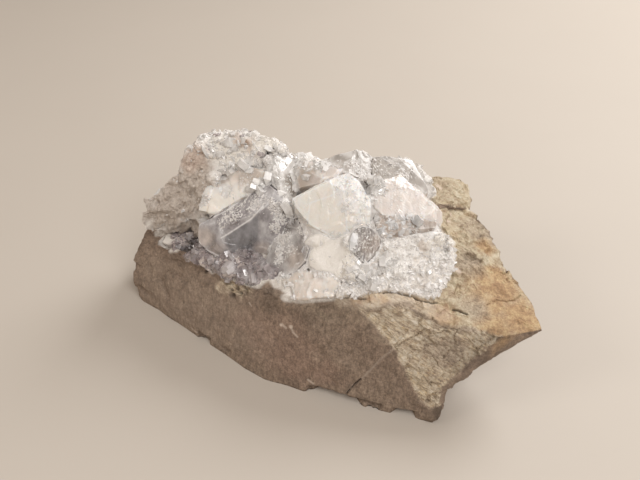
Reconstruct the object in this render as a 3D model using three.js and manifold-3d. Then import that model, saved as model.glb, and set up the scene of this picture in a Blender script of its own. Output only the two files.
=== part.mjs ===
// A hand specimen of celestite on limestone: a wedge of grey-brown limestone, broken
// along flat fractures, that carries a jumble of pale crystals grown into each other.
// Millimetres, +Z up. +X runs along the specimen, -Y faces its flat broken front, and
// the origin lies under its middle, on the surface that it rests on.

import * as THREE from "three";
import { ConvexGeometry } from "three/addons/geometries/ConvexGeometry.js";
import { ImprovedNoise } from "three/addons/math/ImprovedNoise.js";
import { mergeVertices } from "three/addons/utils/BufferGeometryUtils.js";
import Module from "manifold-3d";

const wasm = await Module();
wasm.setup();

// Driving dimensions.
const JOINT_GAP = 0.3; // between a crystal and what it grew against
const WELD = 1e-4; // corners closer than this are one corner
const SHARPEST_LEAN = 0.35; // keeps the corner of a swollen surface from turning into a spike
const [SAW_WIDTH, SAW_DEPTH] = [300, 30]; // the block that trims the underside flat

// How coarse each rough surface is, and how far its grain stands out.
const LIMESTONE_FACET = 8;
const LIMESTONE_GRAIN = [
  { size: 17, height: 0.9 },
  { size: 6, height: 0.6 },
];
const LIMESTONE_SEED = 31;
const NOISE_LANES = [3.7, 11.3, 23.9]; // apart in the noise, for the shifts along x, y, z
const CRUST_FACET = 7.5;
const CRUST_GRAIN = [
  { size: 8, height: 1.1 },
  { size: 3.2, height: 0.7 },
];

// Small crystals of the crusts.
const CRYSTAL_LEAN = 0.9; // how far they lean out of true
const CRYSTAL_SINK = 0.35; // of their length, how deep they sit in the crust
const LOWEST_LEAN = -0.1; // none points further down than this
const CRYSTAL_WIDTH = 0.72; // of their length, across the rhombus
const CRYSTAL_SHOULDER = 0.55; // of their length, where the chisel edge begins
const CHISEL_EDGE = 0.45; // of their length, half the chisel edge

// Colours, roughness.
const MATERIALS = {
  limestone: { color: 0x9b8b78, roughness: 0.95 },
  crust: { color: 0xcdbfae, roughness: 0.8 },
  clear: { color: 0xa9abb3, roughness: 0.2 },
  milky: { color: 0xe6ddd2, roughness: 0.35 },
  grey: { color: 0xa39c96, roughness: 0.3 },
};

// The limestone between its fracture planes. Each lump is the block around its corners.
const LIMESTONE_LUMPS = {
  wedge: [
    // underside, sunk below the resting plane, so that the trim leaves a flat base
    [30, -42, -1.5], [7, -35.5, -1.5], [-16, -27.5, -1.5], [-36, -11.5, -1.5],
    [-56, 4, -1.5], [-54, 22, -1.5], [-20, 33, -1.5], [10, 31, -1.5], [26, 14, -1.5],
    [31, -20, -1.5], [33, -36, -1.5],
    // blunt left end
    [-59, 7, 2], [-60.5, 8, 7], [-59.5, 11, 11], [-57, 13.5, 15], [-55, 15.5, 19],
    [-56, 24, 15],
    // upper edge of the flat front face, from left to right, then its falling ridge
    [-34, -2, 22], [-13, -19.5, 26], [8, -24, 30], [20, -33.5, 20], [31, -40.2, 10],
    // right-hand side and back rim
    [34.5, -36.5, 9], [36, -10, 22], [36, 14, 29], [22, 34, 30], [-12, 38, 28],
    [-42, 32, 24],
  ],
  wing: [
    // right-hand fracture, between the falling ridge and its sharp lower edge
    [8, -24, 30], [20, -33.5, 20], [31, -40.2, 10], [38, -36, 16], [44, -34, 22],
    [47.3, -33, 24.5],
    // thin overhanging flank
    [34.6, -36.4, 9], [44.8, -31.3, 12], [54.7, -27.9, 17.5], [59.2, -29.2, 23],
    // pointed corner, and the rim behind it
    [58.5, -30.4, 25], [57.8, -25.9, 26], [57, -22, 26.6], [55.3, -18.5, 27.3],
    [52.4, -14.4, 28], [50.3, -6, 29],
    // top, rising towards the crystals, and hollow underside
    [33, -1, 35.5], [30, -12, 33.5], [30, -30, 4], [36, -10, 8], [46, -8, 18],
  ],
  middle_rim: [
    [52.2, -13, 27.6], [50.4, -4.2, 29], [50.9, 0.1, 29.5], [48.8, 4.6, 30.2],
    [48.2, 8.3, 30.8], [45, 11, 31.5], [38, 12, 34.5], [33, 2, 36.8], [30, -12, 33.5],
    [28, 20, 31], [38, 8, 10], [36, -10, 8], [46, -8, 18], [45, 6, 17],
  ],
  horn: [
    [45.6, 12, 31.5], [46.8, 15.3, 32.3], [46.2, 18.4, 32.8], [44.9, 21.2, 33.3],
    [44.8, 24.9, 34.2], [39.8, 24, 35.3], [35.4, 22, 36.3], [35, 8, 37.4],
    [22, 31, 33], [28, 8, 31], [38, 8, 10], [20, 28, 12], [43, 21, 17], [33, 29, 17],
  ],
};

// Hollows broken or dissolved out of the limestone.
const LIMESTONE_HOLLOWS = {
  left_pocket: [
    [-53, 10, 30], [-34, 3, 30], [-31, 14, 30], [-48, 20, 30], [-50.5, 10.5, 18.5],
    [-37, 2.5, 19.5], [-35, 10, 15], [-46, 14, 15],
  ],
  dark_gap: [
    [-39, 2, 30], [-33.5, -1, 30], [-31, 8, 30], [-38, 2.5, 19], [-33.5, 0.5, 18.5],
    [-32, 8, 16],
  ],
};

// Crystals. A crown is the corners that show. The root carries them down into the mass.
const CRYSTALS = {
  blue_crystal: {
    material: "clear",
    crown: [
      [-35, 1.5, 34], [-29.5, 4.5, 36.5], [-24.5, 6, 39.5], [-19.5, 7.5, 42],
      [-14.5, 8, 44], [-11.5, 5, 43], [-31.5, -3, 27], [-28, -2, 31.5],
      [-22, -1, 36], [-19, 0, 38], [-14, 3.5, 41.8], [-8.5, 2.5, 36],
      [-11.5, -0.5, 33], [-13.5, -1.5, 30], [-17.5, -3.3, 24], [-23.5, -2, 26],
      [-28.5, -1.8, 24.5], [-35.5, -0.5, 30],
    ],
    root: [3, 9, -7],
  },
  cream_crystal: {
    material: "milky",
    crown: [
      [-35, 6, 36], [-32.5, 11, 40], [-32, 15, 42], [-30.5, 17, 44], [-24.5, 16.5, 45.3],
      [-20, 15, 45.3], [-16.5, 13.5, 45.3], [-14.5, 9, 44], [-20, 7, 42], [-29.5, 4, 36.5],
    ],
    root: [2, 8, -10],
  },
  crest_crystal: {
    material: "milky",
    crown: [
      [-17, 16.5, 48.5], [-11.8, 9.5, 46], [-9, 1.7, 39.2], [-7.5, 20, 46.5],
      [-6, 14.5, 42.5], [-6.7, 9.5, 40.5], [-13, 20, 49],
    ],
    root: [-3, 6, -14],
  },
  centre_crystal: {
    material: "milky",
    crown: [
      [-8, 2, 44], [-7, -0.5, 42], [-3.5, -3.5, 39], [1, -6, 37.5], [3.5, -7, 37],
      [8, -6, 38.5], [14, -5, 39], [2, 2, 49.5], [6.5, 0.5, 47.8], [7.5, 5, 50.5],
      [11.5, 2, 48.5], [14, -1, 45.5], [14.5, -4, 41],
    ],
    root: [0, 8, -16],
  },
  back_white_crystal: {
    material: "milky",
    crown: [
      [-7.5, 15, 46], [-6, 8, 43], [-2, 14.5, 47.5], [3, 11, 48.5], [2, 4, 48],
      [6, 7, 49.5], [8, 12, 48],
    ],
    root: [0, 8, -16],
  },
  right_crystal: {
    material: "milky",
    crown: [
      [14.6, 4, 46.5], [18, 6, 47.2], [23, 8, 46.8], [27, 4, 45], [31, 2, 43],
      [34, -1.5, 40.5], [33, -3.2, 38.5], [23.5, -3.8, 41], [17, -3.2, 42],
      [14.5, -1.5, 43.5],
    ],
    root: [0, 9, -14],
  },
  back_grey_crystal: {
    material: "grey",
    crown: [
      [0, 12, 48], [2, 15, 48.5], [10, 15.5, 51], [13, 15, 50.2], [16, 14, 48.5],
      [7, 7, 49.2], [14, 6, 47],
    ],
    root: [1, 9, -18],
  },
  corner_grey_crystal: {
    material: "grey",
    crown: [
      [15, 14, 49], [17.5, 14, 49.7], [27, 15, 47.7], [29, 12, 44.5], [31.5, 7, 42],
      [30, 5.8, 42], [22.5, 8.5, 46.2], [18.5, 8.6, 47.2], [14.5, 6.5, 47],
    ],
    root: [1, 9, -16],
  },
  front_grey_crystal: {
    material: "clear",
    crown: [
      [-13, -0.5, 31], [-9, 2, 36], [-6.5, 1, 37], [-5, -3.5, 36], [-3, -9, 34],
      [-4.5, -12.5, 31], [-8.5, -13, 28.5], [-12, -12, 26.5], [-16.5, -7.5, 25],
      [-15, -4.5, 27],
    ],
    root: [3, 7, -9],
  },
  striated_crystal: {
    material: "grey",
    crown: [
      [9.1, -7.2, 38.2], [10.2, -6.1, 39.4], [13.7, -6.4, 40], [16.6, -9.8, 38.6],
      [16, -12, 37.6], [13.5, -15.1, 34.9], [11.4, -14.7, 34.6], [7.9, -10.5, 36.3],
    ],
    root: [1, 6, -9],
  },
  brown_crystal: {
    material: "grey",
    crown: [
      [14.7, -4.5, 40.6], [15.8, -2.5, 41.8], [19.5, -1.3, 42.3], [21.1, -2.4, 42.1],
      [27.7, -4, 40.6], [32.7, -3.3, 39.3], [31.1, -5.8, 38.1], [26.3, -6.1, 38.8],
      [20.6, -7.7, 38.9], [17.6, -8.9, 37.8], [16, -7.1, 38.8],
    ],
    root: [0, 8, -9],
  },
  front_vein: {
    material: "milky",
    crown: [
      [-16.5, -14, 25.5], [-10.5, -12, 28], [-5.5, -12.5, 29.5], [2.5, -16, 31.6],
      [6.5, -21, 31.4], [3, -23.6, 30], [-5.5, -22.4, 28.2], [-10, -20.6, 26.6],
    ],
    root: [2, 6, -9],
  },
};

// Crusts of small crystals: lumps, with crystals standing out of them.
const CRUSTS = {
  knob_crust: {
    lumps: [
      [
        // high knob
        [-36, 22.8, 51.5], [-33.8, 24.3, 53], [-28.3, 22.8, 53.3], [-19.2, 22.5, 53],
        [-13.8, 20.8, 52], [-9.5, 19.4, 50], [-39.2, 18, 49.5], [-40.8, 16.8, 47],
        [-42.3, 14.5, 44], [-34, 9, 38], [-31, 15, 44], [-18, 16, 47.5], [-38, 32, 42],
        [-14, 32, 42], [-42, 31, 24], [-10, 32, 26], [-45, 16, 23], [-12, 8, 26],
        [-35, 8, 25],
      ],
      [
        // left flank, down to the ledge
        [-42.3, 14.5, 44], [-46, 13.6, 40], [-49, 11.7, 36.5], [-52.3, 10.2, 32.2],
        [-54.7, 10.7, 29], [-53, 10.8, 26], [-36, 8, 36], [-39, 8, 32], [-45, 9.5, 28],
        [-40, 26, 40], [-50, 20, 30], [-51, 19, 17], [-36, 16, 17], [-36, 24, 20],
      ],
      [
        // saddle behind the crest crystal
        [-9, 19, 47.8], [-5.3, 18.1, 46.6], [-3, 17.3, 45.9], [0.5, 15.7, 45.9],
        [4, 20, 45], [-10, 30, 38], [6, 30, 36], [-10, 31, 26], [6, 31, 26],
        [-8, 12, 34], [4, 12, 34],
      ],
      [
        // behind the right-hand crystals
        [8, 20, 45.5], [14, 21, 45.5], [27, 18, 46.2], [29.8, 15.8, 44],
        [34.2, 16.6, 40.4], [34.4, 11, 38.4], [4, 30, 38], [28, 27, 36],
        [4, 31, 26], [28, 29, 26], [6, 12, 34], [28, 10, 32],
      ],
    ],
    crystals: { count: 14, size: [2.2, 3.8], between: [30, 52], seed: 14 },
  },
  sugary_crust: {
    lumps: [
      [
        [8, -5.5, 38.5], [14.5, -5, 40], [23.5, -4.5, 40.3], [33, -3.8, 38.3],
        [37, -6, 35], [37.5, -10.5, 32.5], [35, -15, 31], [32.5, -18.5, 30],
        [28, -20.5, 29.8], [20, -21, 31], [13.5, -20.5, 31], [6.5, -21, 30.5],
        [2.5, -17, 31.5], [4, -10, 35], [-3, -13, 31], [-4, -9, 34], [-6, -3, 36],
        [0, -4, 36], [10, 10, 32], [30, 10, 32], [10, -10, 24], [28, -10, 26],
        [30, 8, 26], [-3, 3, 26],
      ],
    ],
    crystals: { count: 14, size: [2.2, 3.6], between: [30.5, 36.5], seed: 24 },
  },
  front_druse: {
    lumps: [
      [
        [-36, -1, 24.5], [-30, -6, 25.5], [-22, -12, 26], [-16, -15.5, 26],
        [-12, -12, 28], [-20, -2, 28], [-34, 4, 28], [-34, 4, 18], [-14, -2, 18],
        [-16, -12, 18], [-32, -2, 18],
      ],
    ],
    crystals: { count: 9, size: [2.4, 3.6], between: [24, 27], seed: 23 },
  },
  pocket_druse: {
    lumps: [
      [
        [-50, 12, 19.5], [-44, 7.5, 20.5], [-39, 5, 20], [-38, 12, 22], [-48, 16, 22],
        [-48, 14, 14], [-38, 10, 14],
      ],
    ],
    crystals: { count: 5, size: [2.2, 3], between: [18, 23], seed: 41 },
  },
};

// The closed solid inside a geometry's surface.
function solidOf(geometry) {
  const bare = new THREE.BufferGeometry();
  bare.setAttribute("position", geometry.getAttribute("position"));
  bare.setIndex(geometry.index);
  const welded = mergeVertices(bare, WELD);
  return new wasm.Manifold(
    new wasm.Mesh({
      numProp: 3,
      vertProperties: welded.attributes.position.array,
      triVerts: new Uint32Array(welded.index.array),
    }),
  );
}

// The surface of a solid, as an indexed geometry with positions alone.
function surfaceOf(solid) {
  const mesh = solid.getMesh();
  const surface = new THREE.BufferGeometry();
  surface.setAttribute(
    "position",
    new THREE.BufferAttribute(new Float32Array(mesh.vertProperties), 3),
  );
  surface.setIndex(new THREE.BufferAttribute(new Uint32Array(mesh.triVerts), 1));
  return surface;
}

// The flat-faced block around some corners.
const block = (corners) =>
  solidOf(new ConvexGeometry(corners.map((corner) => new THREE.Vector3(...corner))));

const joined = (solids) => solids.reduce((whole, piece) => whole.add(piece));

// A cut can leave loose chips: the piece that matters is the largest one.
function largest(solid) {
  const bodies = solid.decompose();
  return bodies.reduce((best, body) => (body.volume() > best.volume() ? body : best));
}

// Halves every edge longer than the limit until none is left, so that a broad face
// has corners enough to be roughened.
function refined(solid, longest) {
  const surface = surfaceOf(solid);
  const points = [];
  const position = surface.getAttribute("position");
  for (let i = 0; i < position.count; i++) {
    points.push(new THREE.Vector3().fromBufferAttribute(position, i));
  }
  let triangles = [];
  for (let i = 0; i < surface.index.count; i += 3) {
    triangles.push([0, 1, 2].map((k) => surface.index.getX(i + k)));
  }
  for (let again = true; again; ) {
    again = false;
    const middles = new Map();
    const middle = (a, b) => {
      const key = a < b ? `${a}_${b}` : `${b}_${a}`;
      if (!middles.has(key)) {
        const long = points[a].distanceTo(points[b]) > longest;
        if (long) points.push(points[a].clone().lerp(points[b], 0.5));
        middles.set(key, long ? points.length - 1 : -1);
      }
      return middles.get(key);
    };
    const next = [];
    for (const triangle of triangles) {
      let [a, b, c] = triangle;
      const lengths = [
        points[a].distanceTo(points[b]),
        points[b].distanceTo(points[c]),
        points[c].distanceTo(points[a]),
      ];
      // The longest edge comes first, so that thin triangles are cut across.
      const turn = lengths.indexOf(Math.max(...lengths));
      if (turn === 1) [a, b, c] = [b, c, a];
      if (turn === 2) [a, b, c] = [c, a, b];
      const [ab, bc, ca] = [middle(a, b), middle(b, c), middle(c, a)];
      if (ab < 0) {
        next.push([a, b, c]);
        continue;
      }
      again = true;
      if (ca < 0) next.push([a, ab, c]);
      else next.push([a, ab, ca], [ca, ab, c]);
      if (bc < 0) next.push([ab, b, c]);
      else next.push([ab, b, bc], [ab, bc, c]);
    }
    triangles = next;
  }
  const result = new THREE.BufferGeometry().setFromPoints(points);
  result.setIndex(triangles.flat());
  return result;
}

// Shifts each corner by smooth noise, so that flat faces turn into broken rock.
const noise = new ImprovedNoise();
function roughened(geometry, grain, seed) {
  const position = geometry.getAttribute("position");
  const point = new THREE.Vector3();
  const shift = new THREE.Vector3();
  for (let i = 0; i < position.count; i++) {
    point.fromBufferAttribute(position, i);
    shift.set(0, 0, 0);
    for (const { size, height } of grain) {
      const [x, y, z] = point.toArray().map((value) => value / size);
      const shifts = NOISE_LANES.map(
        (lane) => height * noise.noise(x + lane + seed, y - lane, z + 2 * lane),
      );
      shift.add(new THREE.Vector3(...shifts));
    }
    point.add(shift);
    position.setXYZ(i, point.x, point.y, point.z);
  }
  return geometry;
}

// The same surface moved outwards by a margin, to cut a neighbour clear of it. A corner
// moves far enough for each of its faces to move by the margin, short of a long spike.
// The solid itself is added, for the creases where the moved surface folds inwards.
function swollen(solid, margin) {
  const surface = surfaceOf(solid);
  const position = surface.getAttribute("position");
  const around = Array.from({ length: position.count }, () => []);
  const face = new THREE.Triangle();
  for (let i = 0; i < surface.index.count; i += 3) {
    const corners = [0, 1, 2].map((k) => surface.index.getX(i + k));
    face.setFromAttributeAndIndices(position, ...corners);
    const normal = face.getNormal(new THREE.Vector3());
    for (const corner of corners) around[corner].push(normal);
  }
  const point = new THREE.Vector3();
  for (let i = 0; i < position.count; i++) {
    const out = new THREE.Vector3();
    for (const normal of around[i]) out.add(normal);
    out.normalize();
    const lean = Math.min(...around[i].map((normal) => normal.dot(out)));
    point.fromBufferAttribute(position, i);
    point.addScaledVector(out, margin / Math.max(lean, SHARPEST_LEAN));
    position.setXYZ(i, point.x, point.y, point.z);
  }
  return solidOf(surface).add(solid);
}

// The block below the resting plane, which trims the underside flat.
function saw() {
  const box = new THREE.BoxGeometry(SAW_WIDTH, SAW_WIDTH, SAW_DEPTH);
  box.translate(0, 0, -SAW_DEPTH / 2);
  return solidOf(box);
}

// A repeatable stream of numbers from 0 to 1, by a linear congruence.
function randomFrom(seed) {
  const [factor, step, modulus] = [1664525, 1013904223, 2 ** 32];
  let state = seed;
  return () => {
    state = (factor * state + step) % modulus;
    return state / modulus;
  };
}

// The corners of one small celestite crystal: a rhombic plate with a chisel edge on top.
function plateCorners(size) {
  const [wide, shoulder, edge] = [CRYSTAL_WIDTH, CRYSTAL_SHOULDER, CHISEL_EDGE];
  const rhombus = [[1, 0], [0, wide], [-1, 0], [0, -wide]];
  const corners = [
    ...rhombus.map(([x, y]) => [x, y, -1]),
    ...rhombus.map(([x, y]) => [x, y, shoulder]),
    [edge, 0, 1],
    [-edge, 0, 1],
  ];
  return corners.map((corner) => new THREE.Vector3(...corner).multiplyScalar(size));
}

// Small crystals that stand out of a rough surface, each with a seat and lean of its own.
function druse(surface, { count, size, between, seed }) {
  const random = randomFrom(seed);
  surface.computeVertexNormals();
  const position = surface.getAttribute("position");
  const normal = surface.getAttribute("normal");
  const [smallest, biggest] = size;
  const [low, high] = between;
  const crystals = [];
  while (crystals.length < count) {
    const i = Math.floor(random() * position.count);
    const seat = new THREE.Vector3().fromBufferAttribute(position, i);
    const out = new THREE.Vector3().fromBufferAttribute(normal, i);
    if (seat.z < low || seat.z > high || out.z < LOWEST_LEAN) continue;
    const lean = new THREE.Vector3(random() - 0.5, random() - 0.5, random() - 0.5);
    const axis = out.addScaledVector(lean, CRYSTAL_LEAN).normalize();
    const turn = new THREE.Quaternion()
      .setFromUnitVectors(new THREE.Vector3(0, 0, 1), axis)
      .multiply(
        new THREE.Quaternion().setFromAxisAngle(
          new THREE.Vector3(0, 0, 1),
          Math.PI * random(),
        ),
      );
    const length = smallest + (biggest - smallest) * random() ** 2;
    seat.addScaledVector(axis, -CRYSTAL_SINK * length);
    const corners = plateCorners(length).map((corner) =>
      corner.applyQuaternion(turn).add(seat).toArray(),
    );
    crystals.push(block(corners));
  }
  surface.deleteAttribute("normal");
  return joined(crystals);
}

function crystalCorners({ crown, root }) {
  const moved = crown.map((corner) => corner.map((value, axis) => value + root[axis]));
  return [...crown, ...moved];
}

function pieceOf(name, solid, material) {
  const mesh = new THREE.Mesh(
    surfaceOf(solid),
    new THREE.MeshStandardMaterial({ ...MATERIALS[material], metalness: 0 }),
  );
  mesh.name = name;
  return mesh;
}

const specimen = new THREE.Group();

// The limestone comes first, and everything else has grown on it.
const wedge = joined(Object.values(LIMESTONE_LUMPS).map((corners) => block(corners)));
const hollows = joined(Object.values(LIMESTONE_HOLLOWS).map((corners) => block(corners)));
const broken = refined(wedge.subtract(hollows), LIMESTONE_FACET);
const rough = solidOf(roughened(broken, LIMESTONE_GRAIN, LIMESTONE_SEED));
const limestone = largest(rough.subtract(saw()));
specimen.add(pieceOf("limestone_matrix", limestone, "limestone"));

// Each crystal grows up to the ones before it, and each crust up to the crystals.
let taken = swollen(limestone, JOINT_GAP);
for (const [name, crystal] of Object.entries(CRYSTALS)) {
  const whole = block(crystalCorners(crystal));
  const solid = largest(whole.subtract(taken));
  specimen.add(pieceOf(name, solid, crystal.material));
  taken = taken.add(swollen(whole, JOINT_GAP));
}
for (const [name, { lumps, crystals }] of Object.entries(CRUSTS)) {
  const bulk = joined(lumps.map((corners) => block(corners)));
  const surface = roughened(refined(bulk, CRUST_FACET), CRUST_GRAIN, crystals.seed);
  const grown = solidOf(surface).add(druse(surface, crystals));
  specimen.add(pieceOf(name, largest(grown.subtract(taken)), "crust"));
  taken = taken.add(swollen(grown, JOINT_GAP));
}

// The origin lies under the middle of everything.
const extent = new THREE.Box3().setFromObject(specimen);
const middle = extent.getCenter(new THREE.Vector3());
specimen.position.set(-middle.x, -middle.y, -extent.min.z);
specimen.updateMatrixWorld(true);

export default specimen;
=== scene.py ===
"""Celestite crystals on their limestone matrix, dressed for the render.

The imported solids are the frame. The limestone and the crusts are meshed finely again from them
and given grain, cracks and small crystals. The large crystals are rebuilt with flat faces.
Lengths in this file are millimetres unless a name says otherwise, and pixels are those of the
640 x 480 photograph.
"""
import itertools
import math

import bmesh
import bpy
import numpy as np
from mathutils import Matrix, Vector
from mathutils.bvhtree import BVHTree


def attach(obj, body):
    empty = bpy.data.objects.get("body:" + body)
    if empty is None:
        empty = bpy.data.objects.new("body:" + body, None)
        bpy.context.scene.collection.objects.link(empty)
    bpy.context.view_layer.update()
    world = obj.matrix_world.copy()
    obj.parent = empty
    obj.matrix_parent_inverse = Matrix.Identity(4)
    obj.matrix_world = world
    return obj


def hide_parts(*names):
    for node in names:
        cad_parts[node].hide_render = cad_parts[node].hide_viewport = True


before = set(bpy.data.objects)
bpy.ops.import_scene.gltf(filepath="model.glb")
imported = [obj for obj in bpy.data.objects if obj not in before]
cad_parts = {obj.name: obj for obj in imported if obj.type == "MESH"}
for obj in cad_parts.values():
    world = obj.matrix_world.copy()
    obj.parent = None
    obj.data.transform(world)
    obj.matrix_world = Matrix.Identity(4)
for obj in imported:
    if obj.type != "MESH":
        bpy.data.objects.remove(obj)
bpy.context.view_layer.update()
scene = bpy.context.scene

MM = 0.001
BODY = "root"
WELD = 0.01
BASE_EDGE = 6.0
SPLIT_ROUNDS = 9
CREASE_BENDS = (math.radians(6), math.radians(14))

# Camera, as worked out from the photograph
PHOTO_SIZE = (640, 480)
VIEW_ANGLE = math.radians(50)
CAMERA_TILT = math.radians(40)
CAMERA_DISTANCE = 200.0
CAMERA_TARGET = Vector((0.553, 1.835, 30.0))

LOOKING = Vector((0, math.cos(CAMERA_TILT), -math.sin(CAMERA_TILT)))
CAMERA_UP = Vector((0, math.sin(CAMERA_TILT), math.cos(CAMERA_TILT)))
CAMERA_RIGHT = Vector((1, 0, 0))
CAMERA_PLACE = CAMERA_TARGET - CAMERA_DISTANCE * LOOKING
PIXELS_PER_SLOPE = PHOTO_SIZE[0] / 2 / math.tan(VIEW_ANGLE / 2)


def placed(name, data):
    """A new object of the scene."""
    thing = bpy.data.objects.new(name, data)
    scene.collection.objects.link(thing)
    return thing


def add_camera():
    data = bpy.data.cameras.new("camera")
    data.sensor_width = 36.0
    data.angle = VIEW_ANGLE
    data.clip_start = 0.01
    data.clip_end = 20.0
    camera = placed("camera", data)
    camera.location = CAMERA_PLACE * MM
    camera.rotation_euler = (math.pi / 2 - CAMERA_TILT, 0, 0)
    scene.camera = camera


# Random values that repeat from run to run

# Large odd numbers that mix the bits of a cell's three numbers and of the seed
CELL_FACTORS = (374761393, 668265263, 2246822519)
SEED_FACTOR = 3266489917
MIX_FACTOR = 1274126177
NOISE_GAIN = 1.6
CENTRE_SPREAD = 0.45


def hashed(cells, seed):
    """One value in 0..1 for each whole-number cell, always the same for the same seed."""
    whole = cells.astype(np.int64).astype(np.uint32)
    x, y, z = (whole[:, k] * np.uint32(CELL_FACTORS[k]) for k in range(3))
    mixed = x + y + z + np.uint32((seed * SEED_FACTOR) % 2**32)
    mixed = (mixed ^ (mixed >> np.uint32(13))) * np.uint32(MIX_FACTOR)
    mixed = mixed ^ (mixed >> np.uint32(16))
    return mixed / 2.0**32


def hashed_vectors(cells, seed):
    """A vector with each part in -1..1 for each cell."""
    return np.stack([hashed(cells, seed + 101 * k) for k in range(3)], axis=1) * 2 - 1


def noise(points, size, seed):
    """Smooth values, mostly in -1..1, that change over about size millimetres."""
    scaled = points / size
    corner = np.floor(scaled)
    part = scaled - corner
    blend = part**3 * (part * (part * 6 - 15) + 10)
    total = np.zeros(len(points))
    for step in itertools.product((0, 1), repeat=3):
        slopes = hashed_vectors(corner + step, seed)
        weight = np.prod(np.where(step, blend, 1 - blend), axis=1)
        total += weight * ((part - step) * slopes).sum(axis=1)
    return total * NOISE_GAIN


def layered_noise(points, size, layers, seed):
    """Noise with finer layers on it, each half as large and half as strong as the last."""
    total = np.zeros(len(points))
    for layer in range(layers):
        total += noise(points, np.asarray(size) / 2**layer, seed + layer) / 2**layer
    return total


def nearest_cells(points, size, seed):
    """For each point, the nearest of many random centres and its cell."""
    home = np.floor(points / size)
    nearest = np.full(len(points), np.inf)
    centre = np.zeros_like(points)
    cell_of = np.zeros_like(points)
    for step in itertools.product((-1, 0, 1), repeat=3):
        cell = home + step
        place = (cell + 0.5 + CENTRE_SPREAD * hashed_vectors(cell, seed)) * size
        far = np.linalg.norm(points - place, axis=1)
        nearer = far < nearest
        nearest = np.where(nearer, far, nearest)
        centre[nearer] = place[nearer]
        cell_of[nearer] = cell[nearer]
    return centre, cell_of


def broken_facets(points, size, tilt, seed):
    """Heights of flat tilted facets, like those of a break, each about size millimetres wide."""
    centre, cell = nearest_cells(points, size, seed)
    slopes = hashed_vectors(cell, seed + 7) * tilt
    steps = (hashed(cell, seed + 9) - 0.5) * np.mean(size) * tilt
    return ((points - centre) * slopes).sum(axis=1) + steps


def smooth_step(low, high, values):
    """0 up to low, 1 from high on, and a smooth rise between them; low may be the larger."""
    part = np.clip((values - low) / (high - low), 0, 1)
    return part * part * (3 - 2 * part)


# Meshes as arrays, in millimetres


def points_of(mesh):
    flat = np.empty(len(mesh.vertices) * 3)
    mesh.vertices.foreach_get("co", flat)
    return flat.reshape(-1, 3) / MM


def put_points(mesh, points):
    mesh.vertices.foreach_set("co", (points * MM).ravel())
    mesh.update()


def normals_of(mesh):
    flat = np.empty(len(mesh.vertices) * 3, np.float32)
    mesh.vertex_normals.foreach_get("vector", flat)
    return flat.reshape(-1, 3).astype(float)


def triangles_of(mesh):
    mesh.calc_loop_triangles()
    flat = np.empty(len(mesh.loop_triangles) * 3, np.int32)
    mesh.loop_triangles.foreach_get("vertices", flat)
    return flat.reshape(-1, 3)


def mesh_from(name, points, faces):
    mesh = bpy.data.meshes.new(name)
    mesh.from_pydata((points * MM).tolist(), [], [list(map(int, face)) for face in faces])
    mesh.update()
    return mesh


def set_mask(mesh, name, values):
    mask = mesh.attributes.new(name, "FLOAT", "POINT")
    mask.data.foreach_set("value", np.clip(values, 0, 1).astype(np.float32))


def welded(node):
    """A copy of a solid's mesh, with the corners that meet joined again."""
    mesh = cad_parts[node].data.copy()
    shape = bmesh.new()
    shape.from_mesh(mesh)
    bmesh.ops.remove_doubles(shape, verts=shape.verts, dist=WELD * MM)
    shape.to_mesh(mesh)
    shape.free()
    mesh.materials.clear()
    return mesh


def with_modifiers(mesh, add):
    """The mesh after the modifiers that add() puts on it."""
    thing = placed("work", mesh)
    add(thing)
    depsgraph = bpy.context.evaluated_depsgraph_get()
    result = bpy.data.meshes.new_from_object(thing.evaluated_get(depsgraph))
    bpy.data.objects.remove(thing)
    return result


def add_remesh(thing, name, voxel):
    """Puts a modifier on an object that meshes it again in even steps."""
    even = thing.modifiers.new(name, "REMESH")
    even.mode = "VOXEL"
    even.voxel_size = voxel * MM
    return even


def dense(node, voxel, smoothing):
    """A solid meshed again finely and evenly, its facets blurred a little."""

    def add(thing):
        add_remesh(thing, "even", voxel).use_smooth_shade = True
        soft = thing.modifiers.new("soft", "SMOOTH")
        soft.factor = 0.5
        soft.iterations = smoothing

    return with_modifiers(welded(node), add)


def distance_to_others(points, node):
    """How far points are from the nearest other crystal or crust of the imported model."""
    corners = []
    faces = []
    for other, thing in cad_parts.items():
        if other not in (node, "limestone_matrix"):
            faces.extend((triangles_of(thing.data) + len(corners)).tolist())
            corners.extend(Vector(p) for p in points_of(thing.data))
    tree = BVHTree.FromPolygons(corners, faces)
    return np.array([tree.find_nearest(Vector(p))[3] for p in points])


def edges_of(triangles):
    """The edges of a mesh, each one once, and which three of them each triangle has."""
    edges = np.sort(triangles[:, [0, 1, 1, 2, 2, 0]].reshape(-1, 2), axis=1)
    edges, which = np.unique(edges, axis=0, return_inverse=True)
    return edges, which.reshape(-1, 3)


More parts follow.
